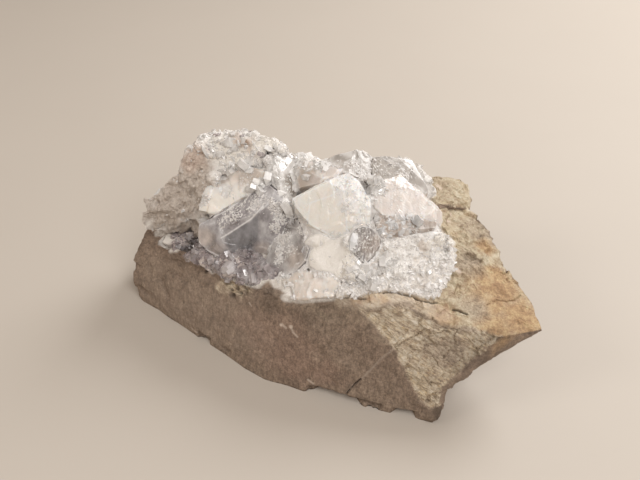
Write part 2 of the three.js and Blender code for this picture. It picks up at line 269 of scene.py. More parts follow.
def halved(points, triangles, limit_at, coarse_below):
    """Splits every edge over the limit once, and says whether there was one."""
    edges, which = edges_of(triangles)
    ends = points[edges]
    length = np.linalg.norm(ends[:, 0] - ends[:, 1], axis=1)
    limit = limit_at(ends.mean(axis=1))
    long = length > limit
    if coarse_below is not None:
        raised = (points[triangles][:, :, 2] > coarse_below).any(axis=1)
        seen = np.bincount(which[raised].ravel(), minlength=len(edges)) > 0
        long &= seen | (length > BASE_EDGE)
    middle = np.cumsum(long) - 1 + len(points)
    points = np.concatenate([points, ends[long].mean(axis=1)])
    split = long[which]
    count = split.sum(axis=1)
    turn = np.where(count == 2, np.argmin(split, axis=1) + 1, np.argmax(split, axis=1))
    order = (turn[:, None] + np.arange(3)) % 3
    corners = np.take_along_axis(triangles, order, axis=1)
    middles = np.take_along_axis(middle[which], order, axis=1)
    # Columns 0 to 2 are the corners a, b, c and 3 to 5 the middles of ab, bc, ca
    six = np.concatenate([corners, middles], axis=1)
    ways = {
        0: [(0, 1, 2)],
        1: [(0, 3, 2), (3, 1, 2)],
        2: [(0, 3, 2), (3, 4, 2), (3, 1, 4)],
        3: [(0, 3, 5), (3, 1, 4), (5, 4, 2), (3, 4, 5)],
    }
    out = [six[count == k][:, way] for k, group in ways.items() for way in group]
    return points, np.concatenate(out), bool(long.any())


def refined(mesh, limit_at, coarse_below=None):
    """The same surface with no edge much longer than the limit at its place. What lies flat
    below a height stays coarse."""
    points, triangles = points_of(mesh), triangles_of(mesh)
    for _ in range(SPLIT_ROUNDS):
        points, triangles, more = halved(points, triangles, limit_at, coarse_below)
        if not more:
            break
    return mesh_from(mesh.name, points, triangles.tolist())


def crease_mask(mesh):
    """1 at the corners that lie on a sharp edge."""
    points, triangles = points_of(mesh), triangles_of(mesh)
    a, b, c = (points[triangles[:, k]] for k in range(3))
    facing = np.cross(b - a, c - a)
    facing /= np.maximum(np.linalg.norm(facing, axis=1), 1e-12)[:, None]
    edges, which = edges_of(triangles)
    both = np.zeros((len(edges), 3))
    np.add.at(both, which.ravel(), np.repeat(facing, 3, axis=0))
    bend = np.arccos(np.clip((both**2).sum(axis=1) / 2 - 1, -1, 1))
    sharp = smooth_step(*CREASE_BENDS, bend)
    mask = np.zeros(len(points))
    for end in range(2):
        np.maximum.at(mask, edges[:, end], sharp)
    return mask


# Places seen in the photograph, carried onto the model


def sight_line(u, v):
    slope = LOOKING + CAMERA_RIGHT * ((u - PHOTO_SIZE[0] / 2) / PIXELS_PER_SLOPE)
    slope -= CAMERA_UP * ((v - PHOTO_SIZE[1] / 2) / PIXELS_PER_SLOPE)
    return slope.normalized()


def tree_of(mesh):
    points = points_of(mesh)
    return BVHTree.FromPolygons([Vector(p) for p in points], triangles_of(mesh).tolist())


def place_of(tree, pixel):
    """The point of a surface that shows at a pixel of the photograph."""
    hit = tree.ray_cast(CAMERA_PLACE, sight_line(*pixel))[0]
    return None if hit is None else np.array(hit)


def spots(points, tree, places, edge, wobble=0.0):
    """A mask that is 1 in round spots, each a pixel and a radius, and fades at their edges."""
    mask = np.zeros(len(points))
    for u, v, radius in places:
        centre = place_of(tree, (u, v))
        if centre is not None:
            far = np.linalg.norm(points - centre, axis=1) / radius + wobble
            mask = np.maximum(mask, 1 - smooth_step(1 - edge, 1 + edge, far))
    return mask


def line_distance(points, tree, line, step=1.0):
    """How far each point is from a line drawn over the photograph's pixels."""
    nearest = np.full(len(points), np.inf)
    for (u0, v0), (u1, v1) in zip(line, line[1:]):
        count = max(2, int(math.hypot(u1 - u0, v1 - v0) / step))
        for part in np.linspace(0, 1, count):
            place = place_of(tree, (u0 + (u1 - u0) * part, v0 + (v1 - v0) * part))
            if place is not None:
                nearest = np.minimum(nearest, ((points - place) ** 2).sum(axis=1))
    return np.sqrt(nearest)


def line_mask(points, tree, lines, thin, wide):
    """A mask that is 1 up to thin from the lines and 0 from wide on."""
    return np.max([1 - smooth_step(thin, wide, line_distance(points, tree, line)) for line in lines], axis=0)


def pixels_of(points):
    """Where points show in the photograph."""
    away = points - np.array(CAMERA_PLACE)
    depth = away @ np.array(LOOKING)
    across = away @ np.array(CAMERA_RIGHT) / depth
    upward = away @ np.array(CAMERA_UP) / depth
    middle = np.array(PHOTO_SIZE) / 2
    return middle + PIXELS_PER_SLOPE * np.stack([across, -upward], axis=1)


def inside(points, normals, outline, soft, wobble=0.0):
    """A mask of the surface that shows inside an outline drawn over the photograph's pixels."""
    pixels = pixels_of(points)
    within = np.zeros(len(points), bool)
    nearest = np.full(len(points), np.inf)
    for start, end in zip(outline, outline[1:] + outline[:1]):
        (x0, y0), (x1, y1) = start, end
        edge = np.array((x1 - x0, y1 - y0), float)
        part = np.clip(((pixels - start) @ edge) / (edge @ edge), 0, 1)
        nearest = np.minimum(nearest, np.linalg.norm(pixels - start - part[:, None] * edge, axis=1))
        if y0 != y1:
            crosses = (pixels[:, 1] < y0) != (pixels[:, 1] < y1)
            reach = x0 + (pixels[:, 1] - y0) / (y1 - y0) * (x1 - x0)
            within ^= crosses & (pixels[:, 0] < reach)
    depth = np.where(within, nearest, -nearest) + wobble
    sight = np.array(CAMERA_PLACE) - points
    facing = (normals * sight).sum(axis=1) / np.linalg.norm(sight, axis=1)
    return smooth_step(-soft, soft, depth) * smooth_step(-0.05, 0.12, facing)


# Small crystals. Those that fill the contacts are gathered here, to be one mesh.

contact_grains = []

# A weight too small to matter, so that the sum of all weights is never 0
NOWHERE = 1e-9
GRAIN_SKEW = 2.2
GRAIN_LEAN = 0.6
FLAKE_SKEW = 1.6
FLAKE_LEAN = 0.12
NEEDLE_SPREAD = 0.25
NEEDLE_WIDTH = 0.22
CHISEL_POINTS = np.array(
    [
        (-0.42, -0.30, -0.7), (0.42, -0.30, -0.7), (0.42, 0.30, -0.7), (-0.42, 0.30, -0.7),
        (-0.50, -0.34, 0.15), (0.50, -0.34, 0.15), (0.50, 0.34, 0.15), (-0.50, 0.34, 0.15),
        (-0.20, 0.05, 0.75), (0.26, -0.04, 0.62),
    ]
)
CHISEL_FACES = [
    (0, 3, 2, 1), (0, 1, 5, 4), (2, 3, 7, 6), (1, 2, 6, 5), (3, 0, 4, 7),
    (4, 5, 9, 8), (6, 7, 8, 9), (5, 6, 9), (7, 4, 8),
]


def samples(points, normals, triangles, weight, count, lean, rng):
    """Random places on a surface, and a direction at each that leans out of it."""
    a, b, c = (points[triangles[:, k]] for k in range(3))
    area = np.linalg.norm(np.cross(b - a, c - a), axis=1) * weight[triangles].mean(axis=1)
    chosen = rng.choice(len(triangles), count, p=area / area.sum())
    share = rng.dirichlet((1, 1, 1), count)[:, :, None]
    places = (points[triangles[chosen]] * share).sum(axis=1)
    up = (normals[triangles[chosen]] * share).sum(axis=1)
    up += rng.normal(size=(count, 3)) * lean
    return places, up / np.linalg.norm(up, axis=1)[:, None]


def copies(places, up, shape, rng, along=None):
    """Chisel-ended blocks of the given sizes, each turned at random about its direction, or
    laid roughly along another."""
    across = rng.normal(size=up.shape)
    if along is not None:
        across = across * NEEDLE_SPREAD + np.array(along)
    side = np.cross(up, across)
    side /= np.linalg.norm(side, axis=1)[:, None]
    frames = np.stack([side, np.cross(up, side), up], axis=1)
    local = CHISEL_POINTS[None] * shape[:, None]
    corners = places[:, None] + np.einsum("nki,nij->nkj", local, frames)
    faces = []
    for k in range(len(places)):
        faces.extend(tuple(i + k * len(CHISEL_POINTS) for i in face) for face in CHISEL_FACES)
    return corners.reshape(-1, 3), faces


def grains(surface, weight, count, size, lean, seed, sink):
    """Small crystals standing on a surface, more of them where the weight is high."""
    rng = np.random.default_rng(seed)
    places, up = samples(*surface, weight, count, lean, rng)
    low, high = size
    scale = low + (high - low) * rng.random(count) ** GRAIN_SKEW
    shape = scale[:, None] * (0.7 + 0.6 * rng.random((count, 3)))
    places = places - up * shape[:, 2:] * sink
    return mesh_from("grains", *copies(places, up, shape, rng))


def fill_contacts(surface, weight, count, size, seed, sink):
    """Puts small crystals where pieces touch. They all join the intergrowth."""
    contact_grains.append((grains(surface, weight, count, size, GRAIN_LEAN, seed, sink), 0))


def flakes(surface, weight, count, size, depth, seed, thin, along=None):
    """Thin plates inside a crystal, roughly along its faces: healed cracks that catch light.
    Those that lie along a direction are needles."""
    rng = np.random.default_rng(seed)
    places, up = samples(*surface, weight, count, FLAKE_LEAN, rng)
    shape = size[0] + (size[1] - size[0]) * rng.random((count, 3)) ** FLAKE_SKEW
    shape[:, 2] = thin
    if along is not None:
        shape[:, 0] *= NEEDLE_WIDTH
    deep = depth[0] + (depth[1] - depth[0]) * rng.random(count)
    return mesh_from("flakes", *copies(places - up * deep[:, None], up, shape, rng, along))


def finished(name, mesh, node, materials):
    """Makes the object of a piece, with its materials, and hides the solid it stands for."""
    piece = placed(name, mesh)
    for material in materials:
        mesh.materials.append(material)
    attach(piece, BODY)
    if node:
        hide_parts(node)


def joined_mesh(name, parts):
    """One flat-shaded mesh of several: each part is a mesh and the material index of its faces."""
    shape = bmesh.new()
    for mesh, index in parts:
        start = len(shape.faces)
        shape.from_mesh(mesh)
        shape.faces.ensure_lookup_table()
        for face in shape.faces[start:]:
            face.material_index = index
            face.smooth = False
    whole = bpy.data.meshes.new(name)
    shape.to_mesh(whole)
    shape.free()
    return whole


# Materials


class Nodes:
    """A material's nodes, with short ways to add the usual ones."""

    def __init__(self, name):
        self.material = bpy.data.materials.new(name)
        self.material.use_nodes = True
        self.tree = self.material.node_tree
        self.shader = self.tree.nodes["Principled BSDF"]
        self.output = self.tree.nodes["Material Output"]
        self.where = self.add("ShaderNodeTexCoord").outputs["Object"]

    def add(self, kind, **values):
        node = self.tree.nodes.new(kind)
        for key, value in values.items():
            setattr(node, key, value)
        return node

    def link(self, source, target):
        self.tree.links.new(source, target)

    def set(self, **values):
        for key, value in values.items():
            self.shader.inputs[key.replace("_", " ")].default_value = value

    def stretched(self, scale, turn=(0, 0, 0), kind="POINT"):
        """The object's coordinates, scaled and turned."""
        mapping = self.add("ShaderNodeMapping", vector_type=kind)
        mapping.inputs["Scale"].default_value = scale
        mapping.inputs["Rotation"].default_value = turn
        self.link(self.where, mapping.inputs["Vector"])
        return mapping.outputs["Vector"]

    def laid_along(self, axes, scale):
        """Coordinates along the columns of a turning matrix, each divided by its scale."""
        return self.stretched(scale, Matrix(axes.tolist()).to_euler(), "TEXTURE")

    def noise(self, size, detail=4.0, roughness=0.55, source=None):
        """A noise in 0..1 whose features are about size millimetres."""
        texture = self.add("ShaderNodeTexNoise")
        texture.inputs["Scale"].default_value = 1 / (size * MM)
        texture.inputs["Detail"].default_value = detail
        texture.inputs["Roughness"].default_value = roughness
        self.link(source or self.where, texture.inputs["Vector"])
        return texture.outputs["Fac"]

    def mask(self, name):
        return self.add("ShaderNodeAttribute", attribute_name=name).outputs["Fac"]

    def ramp(self, source, low, high, at_low=0.0, at_high=1.0):
        spread = self.add("ShaderNodeMapRange")
        for name, value in (
            ("From Min", low), ("From Max", high), ("To Min", at_low), ("To Max", at_high),
        ):
            spread.inputs[name].default_value = value
        self.link(source, spread.inputs["Value"])
        return spread.outputs["Result"]

    def math(self, operation, a, b):
        node = self.add("ShaderNodeMath", operation=operation)
        for socket, value in zip(node.inputs, (a, b)):
            if isinstance(value, (int, float)):
                socket.default_value = value
            else:
                self.link(value, socket)
        return node.outputs[0]

    def mix(self, factor, a, b, blend="MIX"):
        node = self.add("ShaderNodeMix", data_type="RGBA", blend_type=blend)
        for socket, value in ((node.inputs[0], factor), (node.inputs[6], a), (node.inputs[7], b)):
            if isinstance(value, (int, float)):
                socket.default_value = value
            elif isinstance(value, tuple):
                socket.default_value = (*value, 1)
            else:
                self.link(value, socket)
        return node.outputs[2]

    def blend(self, source, low, high, at_low, at_high):
        """A colour that goes from one to another while the source goes from low to high."""
        return self.mix(self.ramp(source, low, high), at_low, at_high)

    def layered(self, colour, layers):
        """A colour with others laid over it in turn, each where its mask is 1."""
        for mask, over in layers:
            colour = self.mix(self.mask(mask), colour, over)
        return colour

    def feed(self, name, source):
        self.link(source, self.shader.inputs[name])

    def bump(self, height, depth):
        node = self.add("ShaderNodeBump")
        node.inputs["Strength"].default_value = 1.0
        node.inputs["Distance"].default_value = depth * MM
        self.link(height, node.inputs["Height"])
        self.feed("Normal", node.outputs["Normal"])

    def absorb(self, colour, density):
        """Fills the inside with a plain absorption, density per metre."""
        volume = self.add("ShaderNodeVolumeAbsorption")
        volume.inputs["Color"].default_value = (*colour, 1)
        volume.inputs["Density"].default_value = density
        self.link(volume.outputs["Volume"], self.output.inputs["Volume"])


CELESTITE_IOR = 1.62
STONE_TONE = (0.91, 0.90, 0.90)


def limestone_material(axes):
    m = Nodes("limestone")
    m.set(Roughness=0.88, Specular_IOR_Level=0.3)
    broad = m.noise(14, detail=3)
    patches = m.noise(3.0, detail=4)
    grain = m.noise(1.3, detail=8, roughness=0.78)
    fine = m.noise(0.5, detail=4, roughness=0.7)
    streaks = m.noise(0.8, detail=5, roughness=0.7, source=m.stretched((1.0, 1.0, 0.20)))
    split = m.noise(0.8, detail=7, roughness=0.72, source=m.laid_along(axes, (3.6, 0.8, 0.8)))
    stone = m.blend(broad, 0.35, 0.65, (0.298, 0.234, 0.187), (0.352, 0.285, 0.230))
    stone = m.layered(stone, [
        # top: the olive of the rock's upper surface, made lighter where faces point up, partly as painted
        # light
        ("top", m.blend(broad, 0.4, 0.6, (0.57, 0.500, 0.385), (0.67, 0.590, 0.455))),
        ("pink", (0.37, 0.270, 0.220)),
        ("tan", m.blend(split, 0.38, 0.60, (0.42, 0.355, 0.275), (0.92, 0.815, 0.655))),
        ("ochre", (0.54, 0.37, 0.205)),
        ("shade", m.blend(split, 0.38, 0.62, (0.24, 0.20, 0.17), (0.56, 0.48, 0.40))),
    ])
    calmer = m.ramp(m.mask("front"), 0, 1, 0.7, 0.35)
    striped = m.math("MULTIPLY", m.mask("front"), 0.7)
    for share, source, low, high, dark, light in (
        (0.6, grain, 0.30, 0.70, (0.20, 0.19, 0.18), (0.80, 0.79, 0.77)),
        (0.6, fine, 0.32, 0.68, (0.30, 0.29, 0.28), (0.70, 0.69, 0.68)),
        (calmer, patches, 0.36, 0.64, (0.36, 0.35, 0.34), (0.64, 0.63, 0.62)),
        (striped, streaks, 0.3, 0.7, (0.28, 0.27, 0.26), (0.72, 0.71, 0.70)),
    ):
        stone = m.mix(share, stone, m.blend(source, low, high, dark, light), "OVERLAY")
    stone = m.mix(1.0, stone, STONE_TONE, "MULTIPLY")
    stone = m.layered(stone, [
        ("pale", (0.70, 0.59, 0.50)),
        # dark: painted shade in the cracks, seams, slit and pits, on the foot's side, and the darker spots
        ("dark", (0.035, 0.026, 0.020)),
        ("bed", m.blend(grain, 0.35, 0.6, (0.70, 0.64, 0.58), (0.95, 0.92, 0.88))),
    ])
    m.feed("Base Color", stone)
    relief = m.math("ADD", m.noise(0.7, detail=7, roughness=0.75), m.math("MULTIPLY", fine, 0.3))
    relief = m.math("ADD", relief, m.math("MULTIPLY", split, m.mask("broken")))
    relief = m.math("ADD", relief, m.math("MULTIPLY", streaks, m.mask("front")))
    m.bump(relief, 0.45)
    return m.material


def milky_material(name, light, deep, turn):
    """White crystal that light enters and leaves again nearby."""
    m = Nodes(name)
    m.set(Roughness=0.22, IOR=CELESTITE_IOR, Subsurface_Weight=0.85, Subsurface_Scale=0.0012,
          Subsurface_Radius=(1.0, 0.9, 0.8), Transmission_Weight=0.06)
    clouds = m.noise(6, detail=6, roughness=0.6, source=m.stretched((1, 0.6, 1), (turn, 0.4, 0.2)))
    fibres = m.noise(1.4, detail=5, source=m.stretched((1, 0.22, 0.25), (0.3, turn, 0.6)))
    body = m.blend(clouds, 0.38, 0.62, light, deep)
    body = m.mix(m.ramp(fibres, 0.50, 0.72, 0, 0.8), body, (0.99, 0.98, 0.97))
    # grey is partly painted shade in a pocket; edge is near white, painted highlight on crystal edges and
    # lines, and random pale patches on the vein
    tones = [("warm", (0.95, 0.87, 0.80)), ("grey", (0.58, 0.51, 0.45)), ("edge", (1.0, 0.99, 0.98))]
    m.feed("Base Color", m.layered(body, tones))
    m.feed("Roughness", m.ramp(m.noise(2.0), 0.3, 0.7, 0.10, 0.30))
    m.bump(m.noise(1.6, detail=7, source=m.stretched((1, 0.4, 0.5), (0.5, turn, 0.1))), 0.12)
    return m.material


def clear_material(name, tint, dark, share, roughness, deep, density):
    """See-through crystal: share of the light passes, the rest is scattered as in haze."""
    m = Nodes(name)
    m.set(Roughness=roughness, IOR=CELESTITE_IOR)
    m.absorb(deep, density)
    clouds = m.noise(3.5, detail=6, roughness=0.6, source=m.stretched((1, 0.6, 0.7), (0.4, 0.9, 0.2)))
    body = m.blend(clouds, 0.40, 0.62, tint, tuple(0.5 * value + 0.48 for value in tint))
    # grey: the crystal's grey, and painted shade on shaded faces and in a pocket; edge: painted highlight,
    # where less light passes too
    tones = [("grey", dark), ("warm", (0.86, 0.74, 0.66)), ("edge", (0.98, 0.97, 0.97))]
    m.feed("Base Color", m.layered(body, tones))
    clear = m.ramp(clouds, 0.35, 0.65, min(share + 0.2, 1), share - 0.2)
    clear = m.math("MULTIPLY", clear, m.ramp(m.mask("edge"), 0, 1, 1, 0.3))
    m.feed("Transmission Weight", clear)
    m.bump(m.noise(2.4, detail=6, source=m.stretched((1, 0.35, 0.5), (0.3, 0.6, 0.2))), 0.10)
    return m.material


def frost_material():
    m = Nodes("frost")
    m.set(Roughness=0.16, IOR=CELESTITE_IOR, Transmission_Weight=0.2)
    tone = m.blend(m.noise(1.6, detail=5), 0.35, 0.65, (0.84, 0.80, 0.77), (0.99, 0.98, 0.97))
    m.feed("Base Color", tone)
    m.bump(m.noise(0.5, detail=3), 0.12)
    return m.material


def crust_material():
    m = Nodes("crust")
    m.set(Roughness=0.28, IOR=CELESTITE_IOR)
    grain = m.noise(0.9, detail=7, roughness=0.75)
    patches = m.noise(4.5, detail=5)
    tone = m.blend(grain, 0.32, 0.56, (0.88, 0.835, 0.79), (0.97, 0.95, 0.925))
    tone = m.mix(m.ramp(patches, 0.58, 0.72, 0, 0.6), tone, (0.76, 0.67, 0.58))
    tone = m.layered(tone, [
        # druse: the grey-purple of the druse, darkened as painted shade between its small crystals
        ("druse", m.blend(grain, 0.35, 0.6, (0.44, 0.37, 0.34), (0.82, 0.74, 0.71))),
        ("brown", m.blend(grain, 0.32, 0.66, (0.40, 0.335, 0.285), (0.79, 0.71, 0.635))),
        ("pink", m.blend(grain, 0.35, 0.62, (0.48, 0.37, 0.31), (0.80, 0.68, 0.59))),
        ("orange", (0.56, 0.38, 0.26)),
        ("cream", (0.98, 0.94, 0.88)),
        # dark: painted shade in hollows
        ("dark", (0.10, 0.075, 0.06)),
    ])
    m.feed("Base Color", tone)
    m.bump(m.noise(0.6, detail=7, roughness=0.75), 0.5)
    return m.material


# Limestone. Its lines and outlines are pixels, and its spots a pixel and a radius.

STONE_EDGE = 1.0
BROKEN_EDGE = 0.70
CRACK_EDGE = 0.36
CRACK_REACH = 1.2
# The break lies right of this place, in front of it and above it
BREAK_CORNER = (2, -2, 1)
UNDERSIDE = 0.3
UNDERCUT_DEPTH = 3.2
FRINGE_GRAINS = 1400
FRONT_CRACK = [(394, 348), (381, 359), (364, 376), (354, 385), (347, 392)]
OPEN_CRACK = [(361, 379), (354, 385), (350, 389), (347, 393)]
FRONT_FACET = [(394, 347), (364, 376), (347, 393), (352, 401), (380, 405), (428, 425), (424, 404),
               (403, 366)]
TOP_CRACKS = [
    [(384, 293), (396, 293), (406, 296), (414, 297), (423, 301), (430, 303), (437, 303)],
    [(344, 298), (352, 297), (361, 298), (366, 298)],
]
FINE_CRACKS = [
    [(487, 305), (497, 300), (506, 301), (514, 300), (521, 295)],
    [(447, 273), (454, 273)],
    [(395, 348), (405, 341), (415, 336), (424, 330)],
    [(419, 370), (425, 378), (431, 387)],
]
SLIT_PIT = [(454, 309), (460, 311), (467, 314)]
FRACTURE = [(353, 301), (366, 312), (378, 309), (390, 304), (406, 304), (418, 312), (441, 325),
            (452, 328), (475, 329), (503, 337), (484, 352), (464, 367), (441, 389), (438, 405),
            (433, 408), (421, 400), (411, 385), (402, 364), (395, 348), (383, 337), (368, 319)]
SCARP = [(366, 312), (378, 309), (390, 304), (406, 304), (418, 312), (441, 325), (452, 328), (475, 329)]
RIDGE_TAN = [(358, 306), (372, 320), (386, 336), (400, 355), (410, 372), (424, 392), (434, 402)]
OCHRE_SPOTS = [(515, 318, 7.0), (530, 325, 6.0), (500, 330, 5.0), (496, 305, 4.0), (505, 290, 5),
               (498, 278, 4), (384, 300, 1.3), (370, 299, 1.1), (357, 301, 1.2), (489, 289, 5.5),
               (443, 316, 3.0), (484, 246, 2.4)]
GREY_SPOTS = [(476, 307, 3.5), (470, 265, 3.5), (481, 230, 5.0)]
PINK_SPOTS = [(285, 345, 9.0), (265, 335, 7.0), (300, 365, 6.0), (325, 374, 5.0), (246, 322, 4.0)]
TAN_SPOTS = [(228, 286, 2.6), (236, 284, 2.8), (246, 290, 1.8), (240, 292, 1.8)]
LEFT_SPOTS = [(170, 300, 12), (205, 310, 12), (240, 322, 10)]
PALE_SPOTS = [(438, 186, 1.0), (449, 220, 0.8), (452, 267, 0.8),
              (458, 270, 0.6), (450, 213, 0.7), (281, 325, 0.4), (291, 327, 0.4)]
PALE_LINES = [[(282, 324), (286, 328)], [(290, 326), (293, 332), (297, 337)], [(308, 380), (313, 384)],
              [(191, 328), (197, 333)], [(249, 303), (251, 306)]]
SHADE_SPOTS = [(440, 352, 4.0), (454, 349, 3.5)]
# Darker spots: a streak along the top of the front face, and painted shade on the band under the overhang
DIM_SPOTS = [(308, 308, 5), (340, 303, 4), (270, 301, 4), (482, 352, 4), (500, 344, 4), (466, 362, 3)]
# The foot's right side, darkened as painted shade
SHADED_FOOT_SIDE = [(433, 407), (446, 402), (444, 424), (433, 424)]
FOOT_SWELL = [(437, 412, 3.5)]
SMOOTH_TOP = [(500, 322, 9), (515, 315, 10), (528, 322, 9), (540, 330, 5), (500, 290, 6),
              (486, 312, 7), (470, 318, 4)]
FRINGE = [(330, 291), (345, 272), (385, 268), (425, 262), (444, 254), (451, 246), (455, 256), (453, 270),
          (447, 284), (440, 294), (434, 300), (420, 297), (386, 291), (362, 296), (338, 298)]
# The two ends of each dent, then how wide and how deep it is
DENTS = [((162, 281), (168, 297), 1.6, 1.1), ((149, 266), (151, 272), 1.4, 0.8),
         ((195, 304), (197, 311), 0.7, 0.6), ((140, 289), (147, 294), 1.8, 1.0),
         ((305, 334), (306, 335), 0.6, 0.6), ((340, 328), (348, 325), 0.6, 0.4)]
PITS = [(228, 283, 0.6), (236, 288, 0.7), (243, 287, 0.6), (231, 290, 0.5), (232, 296, 0.8),
        (239, 294, 0.8), (245, 291, 0.9), (207, 270, 0.7), (214, 270, 0.6), (253, 276, 0.9)]
LAMINA_PIXELS = ((405, 322), (455, 352))
KNOBBLY_SPOTS = [(470, 205, 12), (482, 250, 9), (452, 240, 8), (460, 275, 6), (425, 296, 4), (445, 305, 3),
                 (500, 270, 5)]
INWARD = np.array((0.2, 0.98, 0))
UNDERCUTS = [(203, 331, 3.0), (228, 341, 3.2), (322, 392, 3.6), (334, 393, 4.2), (347, 396, 4.0),
             (373, 402, 2.2), (405, 412, 3.0)]
# A tan band along the top of the front, painted paler as painted light where its faces tilt away from the
# lamps
TAN_AND_LIT_STRIP = [(345, 299), (365, 301), (385, 299), (405, 300), (425, 306), (445, 316)]


def stone_edge(tree):
    """The longest edge wanted in the limestone's mesh: shorter where its break shows, and
    along its cracks."""
    lines = TOP_CRACKS + FINE_CRACKS + PALE_LINES + [FRONT_CRACK, SLIT_PIT]

    def limit_at(points):
        x, y, z = (points - BREAK_CORNER).T
        limit = np.where((x > 0) & (y < 0) & (z > 0), BROKEN_EDGE, STONE_EDGE)
        near = np.min([line_distance(points, tree, line, 4.0) for line in lines], axis=0)
        return np.where(near < CRACK_REACH, CRACK_EDGE, limit)

    return limit_at


def lamina_axes(normals, tree, fracture):
    """Along the layers that the fracture shows, across them, and out of it, as columns."""
    start, end = (place_of(tree, pixel) for pixel in LAMINA_PIXELS)
    out = (normals * fracture[:, None]).sum(axis=0)
    out /= np.linalg.norm(out)
    along = (end - start) - out * ((end - start) @ out)
    along /= np.linalg.norm(along)
    return np.stack([along, np.cross(out, along), out], axis=1)


def limestone_masks(points, normals, tree, wobble):
    """Where each kind of surface shows on the limestone, 0 to 1 at each point."""
    ragged = 2.0 * layered_noise(points, 3.0, 3, 6)
    upward = smooth_step(0.1, 0.4, normals[:, 2])
    return {
        "front": smooth_step(0.45, 0.75, -normals[:, 1]) * smooth_step(36, 28, points[:, 0]),
        # Faces that point up, which the material paints a lighter olive, partly as painted light
        "top": smooth_step(0.35, 0.75, normals[:, 2]),
        "fracture": inside(points, normals, FRACTURE, 1.5, ragged),
        "facet": inside(points, normals, FRONT_FACET, 0.8),
        "crack": line_mask(points, tree, [OPEN_CRACK], 0.0, 0.36),
        "slit": line_mask(points, tree, [SLIT_PIT], 0.0, 0.42),
        "seams": line_mask(points, tree, TOP_CRACKS, 0.0, 0.36),
        "fine": line_mask(points, tree, FINE_CRACKS, 0.0, 0.3),
        "swell": spots(points, tree, FOOT_SWELL, 0.5),
        "pits": spots(points, tree, PITS, 0.4),
        "knobbly": spots(points, tree, KNOBBLY_SPOTS, 0.5, wobble),
        "smooth": spots(points, tree, SMOOTH_TOP, 0.4, wobble),
        "fringe": inside(points, normals, FRINGE, 1.0, 0.5 * ragged) * upward,
    }


def limestone_heights(points, tree, masks, axes):
    """How far the limestone stands out of its plain form, in millimetres."""
    front = masks["front"]
    fracture = masks["fracture"]
    rough = 0.35 * layered_noise(points, 7.0, 4, 11) + 0.45 * broken_facets(points, 6.0, 0.30, 13)
    knobs = 1.0 * np.abs(layered_noise(points, 5.5, 4, 17)) - 0.3
    rubble = 0.5 * broken_facets(points, 2.8, 0.45, 19)
    unseen = smooth_step(8, 20, points[:, 1])
    knobbly = np.maximum(masks["knobbly"], 0.7 * unseen)
    layers = points @ axes
    hackle = 0.6 * layered_noise(layers, np.array((9.0, 2.0, 3.0)), 3, 31)
    hackle += 0.5 * broken_facets(layers, np.array((8.0, 2.4, 6.0)), 0.40, 23)
    hackle += 0.32 * broken_facets(layers, np.array((3.6, 0.8, 2.0)), 0.50, 29)
    grain = 0.10 * layered_noise(points, np.array((1.2, 3.0, 3.0)), 3, 37)
    grain += 0.14 * broken_facets(points, 1.8, 0.4, 41)
    whole = (1 - front) * (1 - fracture)
    height = rough * (1 - 0.60 * front) * (1 - 0.5 * fracture)
    height += (knobs + rubble) * knobbly * whole + 0.15 * rubble * (1 - knobbly) * whole
    height *= 1 - 0.85 * masks["smooth"]
    height += (hackle - 0.5) * fracture + grain * (1 - fracture)
    height += 0.35 * masks["facet"] + 0.7 * masks["fringe"] + 1.1 * masks["swell"]
    height -= 1.2 * masks["crack"] + 1.4 * masks["slit"] + 1.2 * masks["seams"]
    height -= 0.5 * masks["fine"] + 0.9 * masks["pits"]
    for start, end, width, depth in DENTS:
        height -= depth * line_mask(points, tree, [[start, end]], 0, width)
    return height


def paint_limestone(mesh, points, normals, tree, masks, wobble):
    """Sets the masks that the limestone's material reads."""

    def at(places, edge, bend=1.0):
        return spots(points, tree, places, edge, bend * wobble)

    def line(pixels, thin, wide):
        return line_mask(points, tree, [pixels], thin, wide)

    fracture = masks["fracture"]
    front = masks["front"]
    # The crystals grew from a pale lining on the limestone
    bed = 1 - smooth_step(0.5, 1.4, distance_to_others(points, "limestone_matrix"))
    upward = smooth_step(0.1, 0.4, normals[:, 2]) * (1 - fracture)
    shaded = at(SHADE_SPOTS, 0.5)
    tan = [np.maximum(0.85, line(RIDGE_TAN, 1.0, 5.0)) * fracture * (1 - 0.3 * shaded),
           0.95 * at(TAN_SPOTS, 0.5, 2), 0.8 * line(TAN_AND_LIT_STRIP, 1.0, 3.5)]
    pale = [at(PALE_SPOTS, 0.5, 2), 0.7 * line_mask(points, tree, PALE_LINES, 0.1, 0.5),
            0.35 * line(FRONT_CRACK, 0.0, 0.5), 0.35 * line(TAN_AND_LIT_STRIP, 0.8, 3.0),
            0.10 * front * at(LEFT_SPOTS, 0.6)]
    shade = [0.4 * shaded, 0.7 * line(SCARP, 0.2, 1.2), 0.6 * at(GREY_SPOTS, 0.6)]
    # The cracks' near-black colour is painted shade inside their grooves
    cracks = [masks["crack"], masks["slit"], 0.85 * masks["seams"], 0.35 * masks["fine"],
              0.7 * masks["pits"]]
    dark = [np.max(cracks, axis=0) ** 1.5, 0.2 * at(DIM_SPOTS, 0.6),
            0.5 * inside(points, normals, SHADED_FOOT_SIDE, 1.0)]
    painted = {
        "front": front * (1 - fracture),
        "broken": 1.2 * fracture,
        "bed": np.maximum(bed, masks["fringe"]),
        "top": masks["top"] * (1 - fracture) * smooth_step(-14, 2, points[:, 0]),
        "pink": 0.6 * at(PINK_SPOTS, 0.6),
        "ochre": 0.8 * upward * at(OCHRE_SPOTS, 0.7, 1.5),
        "tan": np.max(tan, axis=0),
        "pale": np.max(pale, axis=0),
        "shade": 0.8 * np.max(shade, axis=0),
        "dark": np.max(dark, axis=0),
    }
    for name, values in painted.items():
        set_mask(mesh, name, values)


